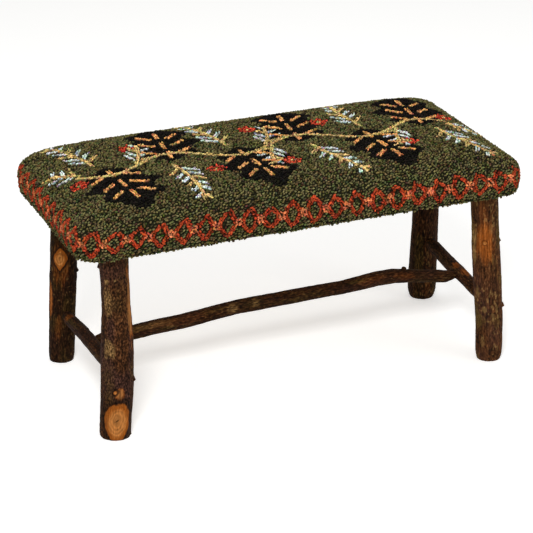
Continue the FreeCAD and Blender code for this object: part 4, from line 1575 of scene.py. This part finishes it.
# how much the runs of border loops, the spots of line loops and the runs of filling loops wander
BORDER_SWAY, LINE_SWAY, FILL_SWAY = 0.6, 0.35, 0.7
FILL_LEAN = 0.1
PICTURE_EDGE = 25.0
rng = np.random.default_rng(LOOP_SEED)
border_spots = on_side(*border_flat.T)
ahead = on_side(border_flat[:, 0] + 1, border_flat[:, 1]) - border_spots
upward = on_side(border_flat[:, 0], border_flat[:, 1] + 1) - border_spots
border_ways = unit(np.cross(ahead, upward))
border_runs = unit(np.roll(border_spots, -1, axis=0) - border_spots)
border_runs += rng.normal(0, BORDER_SWAY, border_runs.shape)
for spot, way, run, link in zip(border_spots.tolist(), border_ways, border_runs, border_links):
    board.add(spot, way, run, "orange" if link else "rust", LINE_ROOM)
for yarn, path in lines:
    path = resampled(path, LOOP_STEP)
    spots, ways = on_top(path + rng.normal(0, LINE_SWAY, path.shape))
    for spot, way, run in zip(spots.tolist(), ways, np.gradient(spots, axis=0)):
        board.add(spot, way, run, yarn, LINE_ROOM)
drawn = len(board.spots)
spots, ways = face_spots(THROWS, rng)
fill = picture_fill(spots[:, :2])
fill[spots[:, 2] < LEG_TOP + FULL_HEIGHT + PICTURE_EDGE] = "ground"
drift = rng.normal(0, FILL_SWAY, THROWS)
for spot, way, yarn, angle in zip(spots.tolist(), ways, fill, drift):
    board.add(spot, way, (math.cos(angle), math.sin(angle), FILL_LEAN), yarn, LOOP_ROOM)
print("loops:", drawn, "along lines and", len(board.spots) - drawn, "filled in")

# %% [markdown]
# ## The shape of a loop
# A loop of yarn pulled up through the cloth stands as a small plump arch, longer along its row
# than across it, with a slanting groove between its two plies. A closed bead of three rings and a
# tip is enough for that, and it is copied to each place by array arithmetic, with a little change
# of size and lean from loop to loop, as hand work has.

# %% Shape the loops
LOOP_SIDES = 8
LOOP_HALF_LENGTH = 2.5
LOOP_HALF_WIDTH = 1.85
LOOP_ROOT = 0.6
# share of the loop's height, share of its width, and how light the yarn is painted there: painted shade
# near the root, a painted highlight near the top
LOOP_RINGS = ((0.0, 0.78, 0.12), (0.5, 1.0, 0.46), (0.86, 0.68, 1.55))
TIP_HEIGHT = 0.92
# the tip is painted lighter still, as a painted highlight
TIP_LIGHT = 1.6
# the yarn has two plies: how they slant, stand out and rise above the groove, and how much lighter the
# plies and darker the groove are painted, as painted highlight and painted shade
PLY_SLANT = math.radians(38.0)
PLY_SWELL = 0.08
PLY_RISE = 0.15
PLY_LIGHT = 0.3
# how much loops differ in lean, size and evenness
LEAN_SPREAD, SIZE_SPREAD, LUMPS = 0.2, 0.13, 0.2
LEAST_SIZE, MOST_SIZE = 0.7, 1.3
LOOP_TURNS = np.arange(LOOP_SIDES) * 2 * np.pi / LOOP_SIDES
LOOP_PLY = np.cos(2 * (LOOP_TURNS - PLY_SLANT))


def loop_bead():
    """One loop's points in its own axes, and its faces."""
    out = np.column_stack([np.cos(LOOP_TURNS), np.sin(LOOP_TURNS)]) * (1 + PLY_SWELL * LOOP_PLY)[:, None]
    rise = 1 + PLY_RISE * LOOP_PLY
    rings = [np.column_stack([out * wide, high * rise]) for high, wide, _ in LOOP_RINGS]
    points = np.concatenate([*rings, [(0, 0, TIP_HEIGHT)]])
    quads = grid_faces(len(rings), LOOP_SIDES)
    tip = fan_faces((len(rings) - 1) * LOOP_SIDES, LOOP_SIDES, len(points) - 1, up=True)
    return points, quads, tip, np.arange(LOOP_SIDES)[None, ::-1]


def loop_points(roots, ways, runs, fullness, rng):
    """The points of many loops: each stands on its root, facing its way, along its run."""
    bead = loop_bead()[0]
    count = len(roots)
    ways = unit(ways + rng.normal(0, LEAN_SPREAD, (count, 3)))
    runs = unit(runs - ways * (runs * ways).sum(1, keepdims=True))
    sides = np.cross(ways, runs)
    size = np.clip(rng.normal(1, SIZE_SPREAD, (3, count)), LEAST_SIZE, MOST_SIZE)
    long = bead[None, :, 0] * LOOP_HALF_LENGTH * fullness * size[0][:, None]
    wide = bead[None, :, 1] * LOOP_HALF_WIDTH * fullness * size[1][:, None]
    tall = bead[None, :, 2] * (PILE_HEIGHT + LOOP_ROOT) * size[2][:, None] - LOOP_ROOT
    lumps = rng.normal(0, LUMPS, (count, len(bead), 3))
    return (roots[:, None] + long[..., None] * runs[:, None] + wide[..., None] * sides[:, None]
            + tall[..., None] * ways[:, None] + lumps)


print("a loop has", len(loop_bead()[0]), "points")

# %% [markdown]
# ## The colour of the yarn
# The wool was dyed in small lots, so no two loops of a colour are quite alike. Each loop gets its
# own shade. Painted shade makes each loop darker towards its root and in the groove between its
# plies, and painted highlights make its plies and tip lighter. The shader adds fibres and the faint
# sheen of wool. Each loop also gets its own square of a map.

# %% Wool finish and loop colours
YARN_COLORS = {
    "ground": (0.088, 0.077, 0.029), "rust": (0.24, 0.0325, 0.0112), "orange": (0.40, 0.116, 0.047),
    "black": (0.0065, 0.005, 0.004), "tan": (0.50, 0.245, 0.085), "straw": (0.44, 0.31, 0.115),
    "pale_blue": (0.40, 0.45, 0.42), "red": (0.40, 0.045, 0.022),
}
# the border is hooked with a thicker yarn
YARN_FULLNESS = {"rust": 1.18, "orange": 1.18}
SHADE_SPREAD, HUE_SPREAD = 0.42, 0.13
DARKEST, PALEST = 0.25, 2.1
FIBRES = 1500.0
# how far from the middle of its square each ring of a loop lies, as a share
PATCH_RINGS = (1.0, 0.8, 0.45)
PATCH_REACH = 0.44


def wool_finish():
    """Wool yarn: its stored colour with painted shade and highlights, uneven fibres, and the soft sheen of
    wool.
    """
    finish = Finish("wool_yarn", Roughness=0.95, Specular_IOR_Level=0.02, Sheen_Weight=0.012,
                    Sheen_Roughness=0.6)
    fibres = finish.noise(FIBRES, detail=6.0, roughness=0.85)
    shade = finish.ramp(fibres, (0.32, 0.35), (0.68, 1.6))
    finish.color(finish.times(finish.stored("yarn")["Color"], shade))
    finish.bump(fibres, 0.9, 0.0012)
    return finish.material


def loop_colors(color, count, rng):
    """A colour for each point of each loop, with painted shade at the root and in the groove, and painted
    highlights on the plies and the tip.
    """
    shade = rng.normal(1, SHADE_SPREAD, (count, 1)) + rng.normal(0, HUE_SPREAD, (count, 3))
    # each ring's painted lightness, with painted highlight on the plies and painted shade in the groove
    rings = [light * (1 + PLY_LIGHT * LOOP_PLY) for _, _, light in LOOP_RINGS]
    # painted shade at the root, painted highlights up to the tip
    painted_shade_and_light = np.concatenate([*rings, [TIP_LIGHT]])
    return (np.array(color) * np.clip(shade, DARKEST, PALEST))[:, None] * painted_shade_and_light[None, :, None]


def loop_patch(piece, count):
    """Gives each loop its own square of a map named OFBake."""
    across = math.ceil(math.sqrt(count))
    rings = np.concatenate([np.repeat(PATCH_RINGS, LOOP_SIDES), [0.0]])
    local = 0.5 + PATCH_REACH * unit(loop_bead()[0][:, :2]) * rings[:, None]
    cells = np.column_stack([np.arange(count) % across, np.arange(count) // across])
    spots = ((cells[:, None] + local[None]) / across).reshape(-1, 2)
    corners = np.empty(len(piece.data.loops), dtype=np.int32)
    piece.data.loops.foreach_get("vertex_index", corners)
    layer = piece.data.uv_layers.new(name="OFBake")
    layer.data.foreach_set("uv", spots[corners].astype(np.float32).ravel())


wool = wool_finish()
print("yarns:", ", ".join(YARN_COLORS))

# %% [markdown]
# ## Hooking the loops
# All loops of one yarn become one piece, and the ground is split in four, so that no piece has too
# many faces to handle. Every loop is rooted on the plumped cover. The lowest ones lean
# down over the edge, as they do where the cover is pulled under the board.

# %% Make the loops
FIRST_SEED = 100
EDGE_BAND = 5.0
EDGE_LEAN = 0.6
WALL_BAND = 20.0
GROUND_SPLITS = (-125.0, 125.0)
loop_ways = unit(np.array(board.ways))
loop_runs = np.array(board.runs)
loop_yarns = np.array(board.yarns)
placed = np.array(board.spots)
roots = drop_on(cover_tree, placed, loop_ways)
low = placed[:, 2] < LEG_TOP + LOWER_EDGE + EDGE_BAND
loop_ways[low] = unit(loop_ways[low] - (0, 0, EDGE_LEAN))


def make_loops(name, yarn, chosen):
    """One piece of loops of a yarn."""
    rng = np.random.default_rng(FIRST_SEED + len(name) + len(chosen))
    points = loop_points(roots[chosen], loop_ways[chosen], loop_runs[chosen],
                         YARN_FULLNESS.get(yarn, 1.0), rng)
    count, each = points.shape[:2]
    colors = loop_colors(YARN_COLORS[yarn], count, rng)
    start = (np.arange(count) * each)[:, None, None]
    faces = [(f[None] + start).reshape(-1, f.shape[1]) for f in loop_bead()[1:]]
    piece = make_piece(name, points.reshape(-1, 3), faces, "wool", (), ("yarn", colors.reshape(-1, 3)))
    loop_patch(piece, count)
    piece.data.materials.append(wool)
    print(name, count, "loops")


on_wall = placed[:, 2] < LEG_TOP + FULL_HEIGHT + WALL_BAND
third = np.digitize(placed[:, 0], GROUND_SPLITS)
for yarn in YARN_COLORS:
    of_yarn = loop_yarns == yarn
    if yarn != "ground":
        make_loops("wool_" + yarn, yarn, np.flatnonzero(of_yarn))
        continue
    make_loops("wool_ground_side", yarn, np.flatnonzero(of_yarn & on_wall))
    for k, part in enumerate(("left", "middle", "right")):
        make_loops("wool_ground_" + part, yarn, np.flatnonzero(of_yarn & ~on_wall & (third == k)))

# %% [markdown]
# ## The hem of the backing cloth
# The loops are hooked through a coarse, even-weave cloth. From below its hem shows: turned under
# the board, cut back round the legs, and left with a raw edge. How far the hem reaches in is worked
# out for each place round the rim, and is shorter where a leg is in the way.

# %% Hem widths
CLOTH_OUTER = 7.4
CLOTH_THICKNESS = 1.0
TURN_UNDER = 24.0
LEG_CLEARANCE = 2.0
LEAST_HEM = 0.8
HEM_WAVER, WAVER_LENGTH, WAVER_SEED = 1.2, 14.0, 5


def fold_size():
    """Half length, half depth and corner radius of the fold at the board's lower edge."""
    inset = DRAW_IN + CLOTH_OUTER
    return SEAT_LENGTH / 2 - inset, SEAT_DEPTH / 2 - inset, CORNER_RADIUS - inset


def hem_widths():
    """The fold, the way in from it, and how far the hem reaches, less where a leg is in the way."""
    edge = outline(ROUND_THE_RIM, *fold_size())
    inner = outline(ROUND_THE_RIM, *(s - TURN_UNDER for s in fold_size()))
    inward = unit(inner - edge)
    flat_edge = np.column_stack([edge / WAVER_LENGTH, np.zeros(len(edge))])
    widths = np.linalg.norm(inner - edge, axis=1) + HEM_WAVER * value_noise(flat_edge, WAVER_SEED)
    for leg in LEGS:
        body = poles[leg]["body"]
        reach = poles[leg]["radii"][body][-1].max() + LEG_CLEARANCE
        to_leg = poles[leg]["middles"][body][-1, :2] - edge
        along = (to_leg * inward).sum(1)
        off = np.abs(inward[:, 0] * to_leg[:, 1] - inward[:, 1] * to_leg[:, 0])
        blocked = (off < reach) & (along > 0)
        room = along - np.sqrt(np.maximum(reach ** 2 - off ** 2, 0))
        widths = np.where(blocked, np.minimum(widths, np.maximum(room, LEAST_HEM)), widths)
    return edge, inward, widths


fold, hem_way, hem_reach = hem_widths()
print("hem reaches in from", hem_reach.min().round(1), "to", hem_reach.max().round(1), "mm")

# %% [markdown]
# ## The backing cloth
# The cloth is a sheet, so it is built as one skin from the hem's edge, round the board and over the
# crown, with the cloth's thickness. Its weave is a checker of two threads with uneven slubs.

# %% Backing cloth
HEM_ROWS = 8
FOLD_ROOM = 0.4
HEM_LOW = LEG_TOP + LOWER_EDGE
THREADS = 520.0
SLUBS = (90.0, 900.0, 900.0)


def cloth_skin(offset, hem_height):
    """Rows of the cloth from the hem's raw edge to the crown."""
    rows = []
    for share in np.linspace(1, 0, HEM_ROWS + 1)[:-1]:
        flat = fold + hem_way * (hem_reach * share + FOLD_ROOM)[:, None]
        rows.append(np.column_stack([flat, np.full(len(flat), hem_height)]))
    skin = seat_layer(offset)
    skin[0, :, 2] = hem_height
    return np.concatenate([np.array(rows), skin])


def weave_finish(name, warp, weft):
    """A plain weave: two sets of threads that pass over and under each other."""
    finish = Finish(name, Roughness=0.95)
    threads = finish.node("TexChecker", Scale=1.0, Color1=(*warp, 1.0), Color2=(*weft, 1.0))
    finish.join(finish.place(THREADS), threads.inputs["Vector"])
    slub = finish.ramp(finish.noise(SLUBS), (0.3, 0.75), (0.7, 1.12))
    finish.color(finish.times(threads.outputs["Color"], slub))
    finish.bump(threads.outputs["Fac"], 0.7, 0.0005)
    return finish.material


outer_skin = cloth_skin(CLOTH_OUTER, HEM_LOW)
inner_skin = cloth_skin(CLOTH_OUTER + CLOTH_THICKNESS, HEM_LOW + CLOTH_THICKNESS)
backing = make_piece("backing_sheet", *shell_layer(outer_skin, inner_skin), "backing_cloth",
                     ["backing_cloth"])
backing.data.materials.append(weave_finish("monks_cloth", (0.62, 0.54, 0.40), (0.50, 0.43, 0.31)))

# %% [markdown]
# ## Board, wedges and staples
# These pieces are right as the CAD has them, so they stay and only get better finishes: a bare board
# of softwood ply with the grain of its face along the bench, hardwood wedges, and bright steel wire.

# %% Finishes for the board, wedges and staples
GRAIN_STRETCH = 0.04
PORES = (60.0, 1400.0, 1400.0)
WIRE_MARKS = 1800.0


def plain_wood(name, pale, dark, grain):
    """Bare wood with long grain along the bench."""
    finish = Finish(name)
    bands = finish.noise((grain * GRAIN_STRETCH, grain, grain), detail=5.0)
    finish.color(finish.ramp(bands, (0.3, dark), (0.6, pale)))
    finish.rough(finish.remap(bands, 0.8, 0.6))
    finish.bump(finish.noise(PORES, detail=2.0), 0.35, 0.0004)
    return finish.material


def steel_wire():
    """Drawn steel wire with faint drawing marks."""
    finish = Finish("staple_wire", Metallic=1.0)
    marks = finish.noise(WIRE_MARKS, detail=2.0)
    finish.color(finish.ramp(marks, (0.3, (0.42, 0.42, 0.43)), (0.7, (0.62, 0.62, 0.63))))
    finish.rough(finish.remap(marks, 0.28, 0.5))
    return finish.material


CAD_FINISHES = {
    "seat_board": plain_wood("softwood_board", (0.58, 0.40, 0.22), (0.40, 0.25, 0.12), 140.0),
    "tenon_wedges": plain_wood("wedge_hardwood", (0.45, 0.28, 0.13), (0.30, 0.17, 0.07), 260.0),
    "cover_staples": steel_wire(),
}
for node, material in CAD_FINISHES.items():
    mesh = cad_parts[node].data
    mesh.materials.clear()
    mesh.materials.append(material)
print("CAD pieces finished:", ", ".join(CAD_FINISHES))

# %% [markdown]
# The box of everything that is shown, but the floor, is printed in millimetres.

low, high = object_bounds()
print("visual box in mm:", [round((b - a) / MM, 1) for a, b in zip(low, high)])
